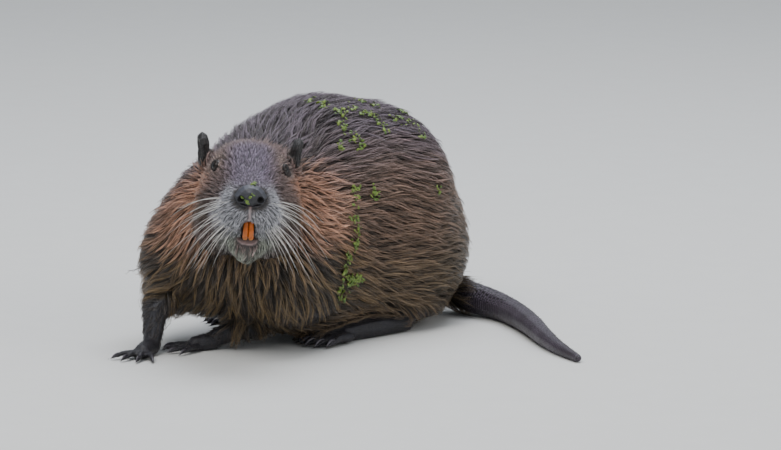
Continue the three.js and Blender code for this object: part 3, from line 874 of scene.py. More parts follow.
class Surface:
    """The skin as triangles to grow on: places, normals, flow and other values at any root."""

    def __init__(self, skin, uv_layer):
        mesh = skin.mesh
        mesh.calc_loop_triangles()
        self.corners = read(mesh, "loop_triangles", "vertices", 3, np.int32)
        self.loops = read(mesh, "loop_triangles", "loops", 3, np.int32)
        self.uv = read(uv_layer, "uv", "vector", 2).astype(float)
        self.skin = skin
        a, b, c = (skin.place[self.corners[:, i]] for i in range(3))
        self.area = np.linalg.norm(np.cross(b - a, c - a), axis=1) / 2
        self.tree = tree_of(skin.place)

    def at_corners(self, values):
        return values[self.corners].mean(1)

    def roots(self, density, rng):
        """Roots spread evenly by density, in strands for each square millimetre."""
        share = np.cumsum(self.area * self.at_corners(density) / MM**2)
        count = int(share[-1])
        ticks = (np.arange(count) + rng.random(count)) / count * share[-1]
        triangle = np.searchsorted(share, ticks)
        r, s = np.sqrt(rng.random(count)), rng.random(count)
        weights = np.stack([1 - r, r * (1 - s), r * s], 1)
        return triangle, weights

    def value(self, triangle, weights, values):
        picked = values[self.corners[triangle]]
        return (picked * (weights if picked.ndim == 2 else weights[:, :, None])).sum(1)

    def patch(self, triangle, weights):
        return (self.uv[self.loops[triangle]] * weights[:, :, None]).sum(1)

    def nearest(self, points):
        return np.array([self.tree.find(p)[1] for p in points])


def guides(surface, roots, length, rise, swirl):
    """The line of each lock: steps that follow the flow and keep a height over the skin."""
    skin = surface.skin
    place_now = roots.copy()
    found = surface.nearest(place_now)
    lines = [place_now.copy()]
    normals_here = [skin.normal[found]]
    for step in range(GUIDE_STEPS):
        t = (step + 1) / GUIDE_STEPS
        flow = skin.flow[found]
        across = np.cross(skin.normal[found], flow)
        flow = unit(flow + across * np.sin(swirl + WAVE_TURN * t)[:, None] * WAVE)
        place_now = place_now + flow * (length / GUIDE_STEPS)[:, None]
        found = surface.nearest(place_now)
        base, up = skin.place[found], skin.normal[found]
        over = ((place_now - base) * up).sum(1)
        place_now = place_now - up * over[:, None]
        lines.append(place_now + up * (rise * (1 - (1 - t) ** 1.8))[:, None])
        normals_here.append(up)
    return np.stack(lines, 1), np.stack(normals_here, 1)


# A strand's thickness as a share of its width, the least height of its points and the depth of its root.
STRAND_FLATNESS = 0.42
LOWEST_HAIR_MM = 0.4
ROOT_SINK_MM = 0.6
# The share of strands that are fine and stray, and how far clumps and strands differ in brightness, as the
# spread of its logarithm.
FINE_SHARE = 0.14
CLUMP_TONE, STRAND_TONE = 0.26, 0.26
# Some clumps are bright wisps that stand high and the rest are dark ground that lies low: partly the coat's
# own pale and dark locks, partly painted light on the high locks and painted shade on the low ones. On the
# chest the ground is darker still, as painted shade under the head and neck.
WISP_SHARE = 0.36
CHEST_PAINTED_SHADE = 0.85
WISP = {"length": 1.3, "rise": (0.95, 1.1), "tone": 0.42, "width": 0.88}
GROUND = {"length": 0.95, "rise": (0.55, 0.9), "tone": -0.34, "width": 1.05}
# Colour added to the brightest strands, as light on wet hair.
SHEEN = np.array([0.045, 0.038, 0.038])


def along_guide(lines, t):
    """Points at share t of each guide."""
    spot = np.clip(t, 0, 1) * GUIDE_STEPS
    low = np.minimum(spot.astype(int), GUIDE_STEPS - 1)
    part = (spot - low)[:, None]
    row = np.arange(len(lines))
    return lines[row, low] * (1 - part) + lines[row, low + 1] * part


def strands(lines, ups, width, rings, rng):
    """Solid three-sided strands along lines of ring points, closed at the root and pointed at the tip."""
    count, number = lines.shape[0], len(rings["at"])
    tangent = unit(np.gradient(lines, axis=1))
    side = unit(np.cross(tangent, ups))
    top = np.cross(side, tangent)
    roll = rng.normal(0, 0.45, count)[:, None, None]
    side, top = side * np.cos(roll) + top * np.sin(roll), top * np.cos(roll) - side * np.sin(roll)
    vertices = np.empty((count, number * 3 + 1, 3))
    for i, wide in enumerate(rings["wide"]):
        middle = lines[:, i]
        half = (width * wide / 2)[:, None]
        tall = (width * wide * STRAND_FLATNESS)[:, None]
        vertices[:, i * 3] = middle - side[:, i] * half - top[:, i] * tall * 0.4
        vertices[:, i * 3 + 1] = middle + side[:, i] * half - top[:, i] * tall * 0.4
        vertices[:, i * 3 + 2] = middle + top[:, i] * tall * 0.6
    vertices[:, -1] = lines[:, -1]
    vertices[:, :, 2] = np.maximum(vertices[:, :, 2], LOWEST_HAIR_MM * MM)
    first = (np.arange(count) * (number * 3 + 1))[:, None]
    quads, triangles = [], [first + np.array([[0, 2, 1]])]
    for i in range(number - 1):
        a = i * 3
        for p, q in ((0, 1), (1, 2), (2, 0)):
            quads.append(first + np.array([[a + p, a + q, a + 3 + q, a + 3 + p]]))
    a = (number - 1) * 3
    for p, q in ((0, 1), (1, 2), (2, 0)):
        triangles.append(first + np.array([[a + p, a + q, number * 3]]))
    return vertices, np.concatenate(quads), np.concatenate(triangles)


def coat(surface, rng):
    """All the strands, gathered in clumps, as arrays: the long hair and the short."""
    skin = surface.skin
    clump_of, clump_weights = surface.roots(skin.clumps, rng)
    clump_root = surface.value(clump_of, clump_weights, skin.place)
    length = surface.value(clump_of, clump_weights, skin.length) * MM
    depth = surface.value(clump_of, clump_weights, skin.depth) * MM
    spacing = MM / np.sqrt(surface.value(clump_of, clump_weights, skin.clumps))
    number = len(clump_root)
    on_body = surface.value(clump_of, clump_weights, skin.share["neck"] + skin.share["trunk"])
    wisp = rng.random(number) < WISP_SHARE

    def kind(key, part=None):
        high, low = (WISP[key], GROUND[key]) if part is None else (WISP[key][part], GROUND[key][part])
        return np.where(wisp, high, low)

    length *= rng.uniform(0.85, 1.25, number) * (1 + (kind("length") - 1) * on_body)
    free = surface.value(clump_of, clump_weights, skin.loose)
    loose = (rng.random(number) < 0.22 * free) * rng.uniform(0.2, 0.7, number)
    rise = depth * (rng.uniform(kind("rise", 0), kind("rise", 1)) + loose)
    swirl = rng.uniform(0, math.pi, number) + waves(clump_root)
    lines, ups = guides(surface, clump_root, length, rise, swirl)
    # Painted light and shade in part: wisps are brightened, ground clumps darkened, and the chest's ground
    # clumps take painted shade.
    clump_tone = rng.normal(0, CLUMP_TONE, number) * (0.5 + 0.5 * on_body)
    clump_tone += kind("tone") * (0.3 + 0.7 * on_body)
    clump_tone -= CHEST_PAINTED_SHADE * surface.value(clump_of, clump_weights, skin.chest) * ~wisp
    tree = tree_of(clump_root)
    root_of, weights = surface.roots(skin.density, rng)
    root = surface.value(root_of, weights, skin.place)
    clump = np.array([tree.find(p)[1] for p in root])
    count = len(root)
    offset = root - clump_root[clump]
    outward = np.clip(np.linalg.norm(offset, axis=1) / spacing[clump], 0, 1)
    own = rng.uniform(0.78, 1.12, count) * (1 - 0.3 * outward**2)
    gather = rng.uniform(0.72, 1.0, count) * surface.value(root_of, weights, skin.gather)
    fine = rng.random(count) < FINE_SHARE
    own[fine] *= 1.2
    gather[fine] *= 0.4
    width = surface.value(root_of, weights, skin.width) * MM * rng.uniform(0.65, 1.25, count)
    width[fine] *= 0.5
    width *= kind("width")[clump]
    free = surface.value(root_of, weights, skin.loose)
    lift = rng.normal(0, 0.10, count) + 0.35 * fine * free
    lift *= surface.value(root_of, weights, skin.depth) * MM
    bend = rng.normal(0, 0.045, (count, 3)) * length[clump][:, None]
    tone = np.exp(rng.normal(0, STRAND_TONE, count) + clump_tone[clump])[:, None]
    colour = surface.value(root_of, weights, skin.colour) * tone + SHEEN * np.maximum(tone - 1.1, 0)
    # Bright wisps take the tip colours, partly as painted highlight on wet hair.
    tip_share = 0.6 * rng.random(count) * wisp[clump] * on_body[clump]
    colour = mixed(colour, surface.value(root_of, weights, skin.tips), tip_share)
    patch = surface.patch(root_of, weights)
    region = skin.label[surface.corners[root_of, 0]]
    number_of = rng.random(count)
    long = (length[clump] > LONG_FROM_MM * MM) & (skin.share["tail"][surface.corners[root_of, 0]] < 0.5)
    made = []
    for rings, chosen in ((LONG_HAIR, np.flatnonzero(long)), (SHORT_HAIR, np.flatnonzero(~long))):
        c = clump[chosen]
        centre, up_rows = [], []
        for t in (*rings["at"], 1.0):
            share = t * own[chosen]
            close = gather[chosen] * t**1.1
            up = along_guide(ups[c], share)
            point = along_guide(lines[c], share) + offset[chosen] * (1 - close)[:, None]
            point = point + up * (lift[chosen] * t - ROOT_SINK_MM * MM * (t == 0))[:, None]
            centre.append(point + bend[chosen] * t * (1 - t))
            up_rows.append(up)
        centre, up_rows = np.stack(centre, 1), unit(np.stack(up_rows, 1))
        vertices, quads, triangles = strands(centre, up_rows, width[chosen], rings, rng)
        made.append({
            "rings": rings,
            "vertices": vertices,
            "quads": quads,
            "triangles": triangles,
            "colour": colour[chosen],
            "patch": patch[chosen],
            "region": region[chosen],
            "id": number_of[chosen],
        })
    return made


def waves(points):
    """A slow swell of angle over the body, so that neighbouring clumps sweep the same way."""
    x, y, z = (points / MM).T
    return np.sin(x / 23 + z / 31) + np.sin(y / 27 - z / 19 + 1.7)


# The side of a strand's patch in the shared map, as a share of the map's side.
PATCH = 0.003
PIECE_TRIANGLES = 196000


def coat_pieces(made, material, first_number):
    """The strands as meshes of less than 200,000 triangles, each over one or more nodes."""
    rings = made["rings"]
    number = len(rings["at"])
    per = number * 3 + 1
    per_piece = PIECE_TRIANGLES // (6 * number - 2)
    order = np.argsort(made["region"], kind="stable")
    quads = made["quads"].reshape(-1, len(order), 4)
    triangles = made["triangles"].reshape(-1, len(order), 3)
    ring_along = np.repeat(rings["at"], 3).tolist() + [1.0]
    ring_across = [-1.0, 1.0, 0.0] * number + [0.0]
    part = first_number
    for first in range(0, len(order), per_piece):
        chosen = order[first:first + per_piece]
        shift = (np.arange(len(chosen)) - chosen)[None, :, None] * per
        faces = {
            4: (quads[:, chosen] + shift).reshape(-1, 4),
            3: (triangles[:, chosen] + shift).reshape(-1, 3),
        }
        mesh = mesh_from(f"coat_{part:02d}", made["vertices"][chosen].reshape(-1, 3), faces)
        colour = np.repeat(made["colour"][chosen], per, 0)
        add_attribute(mesh, "coat", "FLOAT_COLOR", np.concatenate([colour, np.ones((len(colour), 1))], 1))
        strand = np.stack([
            np.tile(ring_across, len(chosen)),
            np.tile(ring_along, len(chosen)),
            np.repeat(made["id"][chosen], per),
        ], 1)
        add_attribute(mesh, "strand", "FLOAT_VECTOR", strand)
        layer = mesh.uv_layers.new(name="OFBake")
        corner = read(mesh, "loops", "vertex_index", 1, np.int32)
        spot = made["patch"][chosen[corner // per]]
        spot = spot + (strand[corner][:, :2] * [0.5, 1.0] - [0, 0.5]) * PATCH
        layer.uv.foreach_set("vector", spot.astype(np.float32).ravel())
        shown(f"coat_{part:02d}", mesh, material)
        part += 1
    return part


# ---------------------------------------------------------------------------- round pieces of their own


def lofted(centres, sides, ups, widths, heights, around=10):
    """Rings round a line of centres, closed at both ends, with each point's place across and along it."""
    turn = np.linspace(0, 2 * math.pi, around, endpoint=False)
    rings = len(centres)
    points = []
    for i in range(rings):
        across = np.outer(np.cos(turn) * widths[i], sides[i])
        points.append(centres[i] + across + np.outer(np.sin(turn) * heights[i], ups[i]))
    points = np.concatenate([*points, centres[:1], centres[-1:]])
    quads, ends = [], []
    for i in range(rings - 1):
        for k in range(around):
            j = (k + 1) % around
            quads.append((i * around + k, i * around + j, (i + 1) * around + j, (i + 1) * around + k))
    for k in range(around):
        j = (k + 1) % around
        ends.append((j, k, rings * around))
        ends.append(((rings - 1) * around + k, (rings - 1) * around + j, rings * around + 1))
    along = np.concatenate([np.repeat(np.linspace(0, 1, rings), around), [0, 1]])
    across = np.concatenate([np.tile(np.cos(turn), rings), [0, 0]])
    return points, np.array(quads), np.array(ends), np.stack([across, along], 1)


def bundle(name, parts, material, replaces=()):
    """Several lofts as one piece."""
    points, quads, ends, strand, first = [], [], [], [], 0
    for i, (p, q, e, s) in enumerate(parts):
        points.append(p)
        quads.append(q + first)
        ends.append(e + first)
        strand.append(np.concatenate([s, np.full((len(s), 1), i * 0.37 % 1)], 1))
        first += len(p)
    mesh = mesh_from(name, np.concatenate(points), {4: np.concatenate(quads), 3: np.concatenate(ends)})
    add_attribute(mesh, "strand", "FLOAT_VECTOR", np.concatenate(strand))
    return shown(name, mesh, material, replaces)


def curve_frames(centres, up):
    tangent = unit(np.gradient(centres, axis=0))
    side = unit(np.cross(tangent, up))
    return side, np.cross(side, tangent)


# How far the cornea stands out, as a share of the eyeball's radius, and the angles from the eye's middle at
# which it begins and is full.
CORNEA_RISE = 0.06
CORNEA_DEGREES = (42, 12)
IRIS_DEGREES = 46


def make_eye(side, material):
    """An eyeball with a bulging cornea."""
    node = "eye_left" if side > 0 else "eye_right"
    look, along, up = eye_axes(side)
    ball = bmesh.new()
    bmesh.ops.create_uvsphere(ball, u_segments=48, v_segments=32, radius=1.0)
    mesh = bpy.data.meshes.new(node)
    ball.to_mesh(mesh)
    ball.free()
    local = positions(mesh)
    angle = np.degrees(np.arccos(np.clip(local[:, 2], -1, 1)))
    radius = EYE_RADIUS_MM * MM * (1 + CORNEA_RISE * ramp(angle, *CORNEA_DEGREES))
    place(mesh, centre_of(node) + (local * radius[:, None]) @ np.stack([along, up, look]))
    add_attribute(mesh, "iris", "FLOAT", np.clip(angle / IRIS_DEGREES, 0, 1))
    return shown(f"{node}_ball", mesh, material, [node])


NOSTRIL_MM = (9.0, -70, -18.3)
NOSTRIL_DEPTH, NOSE_GROOVE_DEPTH = 0.0032, 0.0009


def make_nose(material):
    """The nose leather, with its two nostrils and the groove between them."""
    mesh = melted(["nose"], 0.6, 0.15)
    links = links_of(mesh)
    points = rounded(positions(mesh), links, 8)
    place(mesh, points)
    head = in_head(points)
    pit = np.zeros(len(points))
    for side in (-1, 1):
        x, y, z = (head - [side * NOSTRIL_MM[0], *NOSTRIL_MM[1:]]).T
        z = z + 0.25 * np.abs(x) * (x * side > 0)
        pit = np.maximum(pit, ramp(np.hypot(np.hypot(x, z), y * 0.4), 3.9, 2.5))
    groove = hill(head[:, 0], 0, 1.1) * ramp(head[:, 1], -62, -68) * ramp(head[:, 2], -12, -18)
    normal = normals(mesh)
    inward = unit(from_head([0, 0, -16]) - from_head([0, -70, -16]))
    points = points - normal * (groove * NOSE_GROOVE_DEPTH)[:, None]
    points = points + inward * (pit * NOSTRIL_DEPTH)[:, None]
    place(mesh, points)
    # The pit also darkens the nostrils in the nose's material, as painted shade.
    add_attribute(mesh, "pit", "FLOAT", pit)
    return shown("nose_leather", mesh, material, ["nose"])


TOOTH_MM = {"width": 2.55, "thick": 2.5, "apart": 2.62}
TOOTH_LINE_MM = ((-50.0, -26.0), (-57.5, -33.5), (-61.2, -41.5), (-62.2, -49.0), (-61.0, -57.0))


def make_incisors(material):
    """Two long curved upper incisors that thin to a chisel edge."""
    parts = []
    line = np.array(TOOTH_LINE_MM)
    steps = np.linspace(0, len(line) - 1, 24)
    y = np.interp(steps, range(len(line)), line[:, 0])
    z = np.interp(steps, range(len(line)), line[:, 1])
    t = np.linspace(0, 1, len(steps))
    for side in (-1, 1):
        apart = side * TOOTH_MM["apart"] * (0.86 + 0.14 * t)
        centres = from_head(np.stack([apart, y, z], 1))
        sides = np.broadcast_to(HEAD_ACROSS, centres.shape)
        ups = np.cross(unit(np.gradient(centres, axis=0)), sides)
        widths = TOOTH_MM["width"] * MM * (0.84 + 0.16 * t) * (1 - 0.35 * ramp(t, 0.93, 1.0))
        heights = TOOTH_MM["thick"] * MM * (1 - 0.8 * ramp(t, 0.84, 1.0))
        parts.append(lofted(centres, sides, ups, widths, heights, 20))
    return bundle("incisor_pair", parts, material, ["incisors"])


# ---------------------------------------------------------------------------- feet

DESIGN_EYES_MM = (-46.0, -170.0)
DESIGN_SHIFT = HEAD_ORIGIN[:2] / MM - DESIGN_EYES_MM
HIND = {"length": 86, "width": 17, "toe": 36, "radius": 5, "claw": 10, "toes": 5, "spread": 24}
FORE = {"length": 24, "width": 12, "toe": 21, "radius": 3.6, "claw": 9, "toes": 4, "spread": 62}
PRINTS = {
    "hindfoot_left": (HIND, 101, -14, 47),
    "hindfoot_right": (HIND, 6, 100, 44),
    "forefoot_left": (FORE, -79, -110, 66),
    "forefoot_right": (FORE, -138, -136, 24),
}


def toes_of(print_):
    """For each toe its root, its way over the floor and its length, in the row frame in millimetres."""
    size, x, y, heading = print_
    turn = math.radians(-heading)
    turned = np.array([[math.cos(turn), -math.sin(turn)], [math.sin(turn), math.cos(turn)]])
    found = []
    for i in range(size["toes"]):
        share = i / (size["toes"] - 1) - 0.5
        fan = math.radians(share * size["spread"])
        long = size["toe"] * (1 - abs(share - 0.08) * 0.55)
        way = turned @ np.array([math.sin(fan), -math.cos(fan)])
        root = turned @ np.array([share * size["width"] * 1.5, -size["length"]])
        found.append((root + [x, y] + DESIGN_SHIFT, way, long))
    return size, found


def heading_of(print_):
    turn = math.radians(print_[3])
    return np.array([-math.sin(turn), -math.cos(turn), 0.0])


CLAW_POINT = 0.00012


def make_claws(material):
    """A curved, pointed claw on every toe."""
    parts = []
    for print_ in PRINTS.values():
        size, toes = toes_of(print_)
        for root, way, long in toes:
            t = np.linspace(0, 1, 10)
            reach = long - 1.5 + (size["claw"] + size["radius"] * 0.6) * t
            top = size["radius"] * 1.25
            height = top + 1.6 * np.sin(t * math.pi * 0.75) - (top - 0.9) * t**2.2
            flat = root[None, :] + reach[:, None] * way[None, :]
            centres = np.concatenate([flat, height[:, None]], 1) * MM
            side, up = curve_frames(centres, [0, 0, 1])
            fat = (1 - t) ** 0.65
            half = size["radius"] * 0.36 * MM
            widths, heights = half * fat + CLAW_POINT, half * 1.25 * fat + CLAW_POINT
            parts.append(lofted(centres, side, up, widths, heights, 8))
    return bundle("claws", parts, material)


# ---------------------------------------------------------------------------- whiskers

WHISKERS_A_SIDE = 27
WHISKER_ROWS = 6
WHISKER_MM = (38, 66)
WHISKER_RADIUS_MM = (0.15, 0.24)


def make_whiskers(material, rng):
    """Stiff whiskers in rows on the muzzle pads, swept out, back and down."""
    parts = []
    for side in (-1, 1):
        for i in range(WHISKERS_A_SIDE):
            row, column = i % WHISKER_ROWS, i // WHISKER_ROWS
            start = np.array([side * (12 + 2.3 * column), -58 + 3.6 * column, -23.0 - 4.4 * row])
            start += rng.uniform(-1.3, 1.3, 3)
            long = rng.uniform(*WHISKER_MM) * (0.76 + 0.09 * column)
            rise = 0.06 - 0.19 * row + rng.uniform(-0.09, 0.09)
            out = unit([side * (0.9 + 0.1 * column), -0.16 + 0.14 * column + rng.uniform(-0.08, 0.08), rise])
            sag = np.array([side * -0.06, 0.26, -0.46 + rng.uniform(-0.14, 0.10)])
            t = np.linspace(0, 1, 12)[:, None]
            line = from_head(start + out * long * t + sag * long * t**2)
            sides, ups = curve_frames(line, HEAD_UP)
            fat = (rng.uniform(*WHISKER_RADIUS_MM) * (1 - t[:, 0]) ** 0.8 + 0.05) * MM
            parts.append(lofted(line, sides, ups, fat, fat, 5))
    return bundle("whiskers", parts, material)


# Where duckweed shows in the photograph: the middle of each patch, in pixels from the left and
# the top, how far its leaves scatter in millimetres, and about how many there are.
DUCKWEED_SPOTS = (
    (312, 101, 7, 5), (326, 106, 7, 8), (340, 112, 6, 8), (355, 108, 7, 8), (372, 115, 7, 8),
    (340, 126, 5, 10), (355, 136, 6, 8), (340, 147, 4, 9), (362, 147, 6, 7), (383, 126, 7, 7),
    (397, 119, 6, 6), (411, 122, 6, 5), (404, 112, 5, 4), (421, 133, 5, 4), (361, 101, 6, 5),
    (376, 105, 6, 5), (355, 189, 4, 5), (374, 194, 4, 9), (358, 201, 5, 4), (355, 220, 5, 7),
    (358, 231, 5, 7), (355, 245, 5, 10), (349, 259, 5, 8), (346, 273, 5, 10), (351, 282, 6, 15),
    (358, 280, 5, 13), (341, 290, 5, 9), (344, 297, 5, 8), (437, 189, 4, 3), (253, 184, 3, 4),
)
# The coat carries more leaves than were counted, because they look sparser on the model.
LEAF_PLENTY = 1.9
NOSE_DUCKWEED_SPOTS = ((247, 201, 2, 4), (252, 196, 2, 3))
LEAF_MM = (1.1, 2.3)
LEAF_LIFT, NOSE_LEAF_LIFT = 0.0002, 0.0003
LOWEST_LEAF = 0.002
LEAF_RINGS, LEAF_SIDES = 5, 7


def solid_tree():
    """The surfaces of all the solids, for rays to be cast at."""
    points, faces = [], []
    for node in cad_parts.values():
        first = len(points)
        points += [node.matrix_world @ vertex.co for vertex in node.data.vertices]
        faces += [[first + i for i in polygon.vertices] for polygon in node.data.polygons]
    return BVHTree.FromPolygons(points, faces)


def seen_at(solids, across, down):
    """The place on the solids that shows at a pixel of the photograph, to the nearest millimetre."""
    right = Vector((0, 0, 1)).cross(CAMERA_BACK).normalized()
    up = CAMERA_BACK.cross(right)
    aside = right * ((across - PHOTO_WIDTH / 2) / PIXELS_PER_RADIAN)
    above = up * ((PHOTO_HEIGHT / 2 - down) / PIXELS_PER_RADIAN)
    hit = solids.ray_cast(CAMERA_PLACE, (aside + above - CAMERA_BACK).normalized())[0]
    return np.round(np.array(hit) / MM) * MM


def make_duckweed(surface, material, rng):
    """Little round leaves of duckweed left on the wet coat and on the nose."""
    skin, solids = surface.skin, solid_tree()
    spots, ups = [], []
    for across, down, scatter, counted in DUCKWEED_SPOTS:
        count = round(counted * LEAF_PLENTY)
        near = seen_at(solids, across, down) + rng.normal(0, scatter * MM * 0.7, (count, 3))
        at = surface.nearest(near)
        aside = near - skin.place[at]
        aside -= skin.normal[at] * (aside * skin.normal[at]).sum(1)[:, None]
        aside *= np.minimum(1, 2 * MM / np.maximum(np.linalg.norm(aside, axis=1), MM))[:, None]
        spots.append(skin.place[at] + aside + skin.normal[at] * (skin.depth[at] * MM + LEAF_LIFT)[:, None])
        ups.append(skin.normal[at])
    nose = centre_of("nose")
    for across, down, scatter, count in NOSE_DUCKWEED_SPOTS:
        spot = seen_at(solids, across, down)
        out = unit(spot + rng.normal(0, scatter * MM, (count, 3)) - nose)
        spots.append(nose + out * (np.linalg.norm(spot - nose) + NOSE_LEAF_LIFT))
        ups.append(out)
    parts = []
    t = np.linspace(-1, 1, LEAF_RINGS)
    outline = np.sqrt(1 - (0.95 * t) ** 2)
    for middle, up in zip(np.concatenate(spots), np.concatenate(ups)):
        up = unit(up + rng.normal(0, 0.4, 3))
        along = unit(np.cross(up, rng.normal(0, 1, 3)))
        side = np.broadcast_to(np.cross(along, up), (LEAF_RINGS, 3))
        size = rng.uniform(*LEAF_MM) * MM
        line = middle + np.outer(t, along) * size
        line[:, 2] = np.maximum(line[:, 2], LOWEST_LEAF)
        up = np.broadcast_to(up, side.shape)
        parts.append(lofted(line, side, up, size * 0.8 * outline, size * 0.2 * outline, LEAF_SIDES))
    return bundle("duckweed", parts, material)


# ---------------------------------------------------------------------------- stage


# Half the floor's side, and how far the floor lies below the soles.
FLOOR_HALF = 40.0
FLOOR_DROP = 0.0003
SKY = (0.86, 0.92, 1.0, 1)
SKY_STRENGTH = 0.55
# Each lamp's place, width, power and colour.
LAMPS = {
    "key": ((-0.9, -1.6, 2.6), 1.6, 50, (1.0, 0.98, 0.95)),
    "top": ((0.3, 0.8, 2.6), 2.2, 62, (0.90, 0.93, 1.0)),
    "fill": ((2.2, -1.2, 1.2), 1.8, 16, (1.0, 0.97, 0.92)),
}
LAMPS_LOOK_AT = (0, 0, 0.1)


def make_stage():
    """A plain pale floor and soft studio light."""
    corners = [(x * FLOOR_HALF, y * FLOOR_HALF, 0) for x, y in ((-1, -1), (1, -1), (1, 1), (-1, 1))]
    mesh = mesh_from("floor", corners, {4: np.array([[0, 1, 2, 3]])})
    floor = bpy.data.objects.new("floor", mesh)
    bpy.context.scene.collection.objects.link(floor)
    floor.location.z = -FLOOR_DROP
    n = Nodes("floor")
    where = n.here()
    grain = n.noise(where, 30.0, 5.0)
    colour = n.mix((0.66, 0.66, 0.64, 1), (0.70, 0.70, 0.68, 1), grain)
    mesh.materials.append(n.finish(Base_Color=colour, Roughness=0.85))
    world = bpy.data.worlds.new("studio")
    world.use_nodes = True
    world.node_tree.nodes["Background"].inputs[0].default_value = SKY
    world.node_tree.nodes["Background"].inputs[1].default_value = SKY_STRENGTH
    bpy.context.scene.world = world
    for name, values in LAMPS.items():
        lamp(name, *values)


def lamp(name, spot, size, power, colour):
    data = bpy.data.lights.new(name, "AREA")
    data.shape = "DISK"
    data.size = size
    data.energy = power
    data.color = colour
    light = bpy.data.objects.new(name, data)
    light.location = spot
    light.rotation_euler = (Vector(LAMPS_LOOK_AT) - Vector(spot)).to_track_quat("-Z", "Y").to_euler()
    bpy.context.scene.collection.objects.link(light)


def make_camera():
    data = bpy.data.cameras.new("camera")
    camera = bpy.data.objects.new("camera", data)
    data.sensor_width = 36.0
    data.lens = data.sensor_width * PIXELS_PER_RADIAN / PHOTO_WIDTH
    data.clip_start, data.clip_end = 0.1, 200.0
    camera.location = CAMERA_PLACE
    camera.rotation_euler = (-CAMERA_BACK).to_track_quat("-Z", "Y").to_euler()
    bpy.context.scene.collection.objects.link(camera)
    bpy.context.scene.camera = camera


# ---------------------------------------------------------------------------- the coypu


SCALE_MM = 3.2
SCALES_A_RADIAN = 4.0


def ring_coordinates(points):
    """Places on the tail as round it and along it, in scales."""
    line = tail_line()
    steps = np.linalg.norm(np.diff(line, axis=0), axis=1)
    length = np.concatenate([[0], np.cumsum(steps)])
    best, along, around = np.full(len(points), np.inf), np.zeros(len(points)), np.zeros(len(points))
    for i in range(len(steps)):
        way = (line[i + 1] - line[i]) / steps[i]
        t = np.clip((points - line[i]) @ way, 0, steps[i])
        off = points - line[i] - t[:, None] * way
        far = np.linalg.norm(off, axis=1)
        better = far < best
        side = unit(np.cross(way, [0, 0, 1]))
        angle = np.arctan2(off[:, 2], off @ side)
        best = np.where(better, far, best)
        along = np.where(better, length[i] + t, along)
        around = np.where(better, angle, around)
    return np.stack([around * SCALES_A_RADIAN, along / (SCALE_MM * MM), np.zeros(len(points))], 1)


# The share of the coat's brightness that is left on the skin under it: partly the darker wet skin and
# underfur, and partly painted shade in the gaps between the locks.
UNDERCOAT_SHADE = 0.1


def dress_skin(skin, materials):
    """The skin's own piece, with its materials by region."""
    mesh = skin.mesh
    alpha = np.ones((len(skin.place), 1))
    open_skin = skin.share["foot"] + skin.share["leg"] + skin.share["ear"] + skin.share["tail"]
    open_skin = np.maximum(open_skin, blurred(skin.bare.astype(float), skin.links, 2))
    # Painted shade in part: the skin under the coat is darkened.
    under = skin.colour * mixed(UNDERCOAT_SHADE, 1.0, np.clip(open_skin, 0, 1))[:, None]
    add_attribute(mesh, "coat", "FLOAT_COLOR", np.concatenate([under, alpha], 1))
    add_attribute(mesh, "ring", "FLOAT_VECTOR", ring_coordinates(skin.place))
    piece = shown("skin", mesh, None, FLESH)
    mesh.materials.clear()
    for material in materials:
        mesh.materials.append(material)
    kind = np.zeros(len(skin.place), np.int32)
    kind[skin.share["foot"] + skin.share["leg"] > 0.5] = 1
    kind[skin.share["ear"] > 0.5] = 1
    kind[skin.share["tail"] > 0.5] = 2
    first = read(mesh, "polygons", "loop_start", 1, np.int32)
    corner = read(mesh, "loops", "vertex_index", 1, np.int32)
    mesh.polygons.foreach_set("material_index", kind[corner[first]])
    return piece


def chest_share(head, points):
    """1 on the throat, the chest and the front of the shoulders, where the coat hangs in long points."""
    return ramp(head[:, 2], -58, -80) * ramp(head[:, 1], 90, 40) * ramp(points[:, 2], 0.02, 0.04)


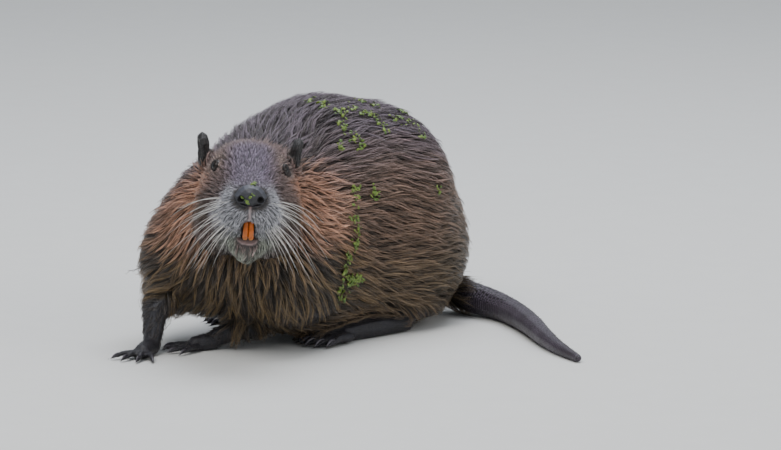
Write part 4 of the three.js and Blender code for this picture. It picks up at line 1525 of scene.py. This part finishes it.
def plan_coat(skin):
    """How densely strands and clumps grow, how wide they are and how tightly they come together."""
    head = skin.head
    s = skin.share
    under = ramp(-skin.normal[:, 2], 0.5, 0.9) * ramp(0.05 - skin.outer[:, 2], 0.0, 0.03)
    muzzle = ramp(head[:, 1], -30, -48) * s["head"]
    cheek = ramp(skin.length, 12, 22)
    skin.chest = chest = chest_share(head, skin.outer)
    jowl = s["head"] * ramp(np.abs(head[:, 0]), 26, 38) * ramp(-head[:, 2], -4, 16)
    mane = ramp(s["neck"], 0.2, 0.7) * (1 - 0.8 * ramp(skin.normal[:, 2], 0.1, 0.7))
    skin.loose = np.clip(0.06 + 0.7 * np.max([mane, 0.7 * chest, 0.8 * jowl], axis=0), 0, 1)
    face = mixed(0.76, 0.25, cheek) * (1 + 0.4 * muzzle)
    body = 0.265 * (1 - 0.75 * under) * (1 + 0.3 * chest)
    skin.density = s["head"] * face + s["neck"] * 0.275 + s["trunk"] * body + s["leg"] * 0.30
    skin.density += s["foot"] * 0.30 + s["ear"] * 0.7 + s["tail"] * 0.12
    tuft = ramp(np.abs(head[:, 0]), 18, 12) * ramp(head[:, 2], -60, -66) * ramp(head[:, 1], -28, -38)
    clumps = s["head"] * mixed(mixed(0.24, 0.05, cheek), 0.03, tuft)
    clumps += (s["neck"] + s["trunk"]) * mixed(0.075, 0.045, chest)
    skin.clumps = clumps + s["leg"] * 0.06 + s["foot"] * 0.2 + s["ear"] * 0.3 + s["tail"] * 0.1
    skin.width = s["head"] * mixed(0.50, 0.8, cheek) + (s["neck"] + s["trunk"]) * mixed(0.80, 0.56, chest)
    skin.width += s["leg"] * 0.7 + s["foot"] * 0.45 + s["ear"] * 0.42 + s["tail"] * 0.3
    on_face = s["head"] * (0.35 + 0.65 * np.maximum(cheek, tuft))
    skin.gather = np.clip(s["neck"] + s["trunk"] + on_face + s["leg"] * 0.6, 0, 1)
    lips = np.linalg.norm((head - MOUTH_MM) / [6.0, 13, 8.5], axis=1) < 1
    lips |= (np.hypot(head[:, 0] / 10.5, (head[:, 2] + 59) / 3.0) < 1) & (head[:, 1] < -38)
    eye = np.min([np.linalg.norm(head - [e * EYE_SPREAD_MM, 0, 0], axis=1) for e in (-1, 1)], axis=0)
    nose = np.linalg.norm((head - NOSE_MIDDLE_MM) / [15.0, 12, 9.4], axis=1) < 1
    parting = (np.abs(head[:, 0]) < 0.9) & (head[:, 1] < -50) & (head[:, 2] < -24) & (head[:, 2] > -42)
    skin.bare = lips | nose | parting | (eye < EYE_RADIUS_MM * 1.13)
    skin.density = skin.density * ~skin.bare
    skin.clumps = skin.clumps * ~skin.bare


def build():
    rng = np.random.default_rng(SEED)
    make_camera()
    make_stage()
    skin = make_skin()
    feet = [(heading_of(p), node) for node, p in PRINTS.items()]
    skin.flow = coat_flow(skin, feet)
    skin.colour = markings_and_painted_light(skin)
    skin.tips = bright_tips(skin)
    unwrap(skin.mesh)
    plan_coat(skin)
    surface = Surface(skin, skin.mesh.uv_layers["OFBake"])
    dress_skin(skin, [
        hide_material("undercoat", 0.5, 1100.0, 0.0003, 0.4, 0.12),
        hide_material("foot skin", 0.4, 520.0, 0.0006, 0.5, 0.5),
        tail_material(),
    ])
    fur = coat_material("fur", 0.27, 0.12)
    number = 1
    for made in coat(surface, rng):
        number = coat_pieces(made, fur, number)
    for side in (-1, 1):
        make_eye(side, eye_material())
    make_nose(nose_material())
    make_incisors(enamel_material())
    make_claws(claw_material())
    make_whiskers(whisker_material(), rng)
    make_duckweed(surface, duckweed_material(), rng)


build()
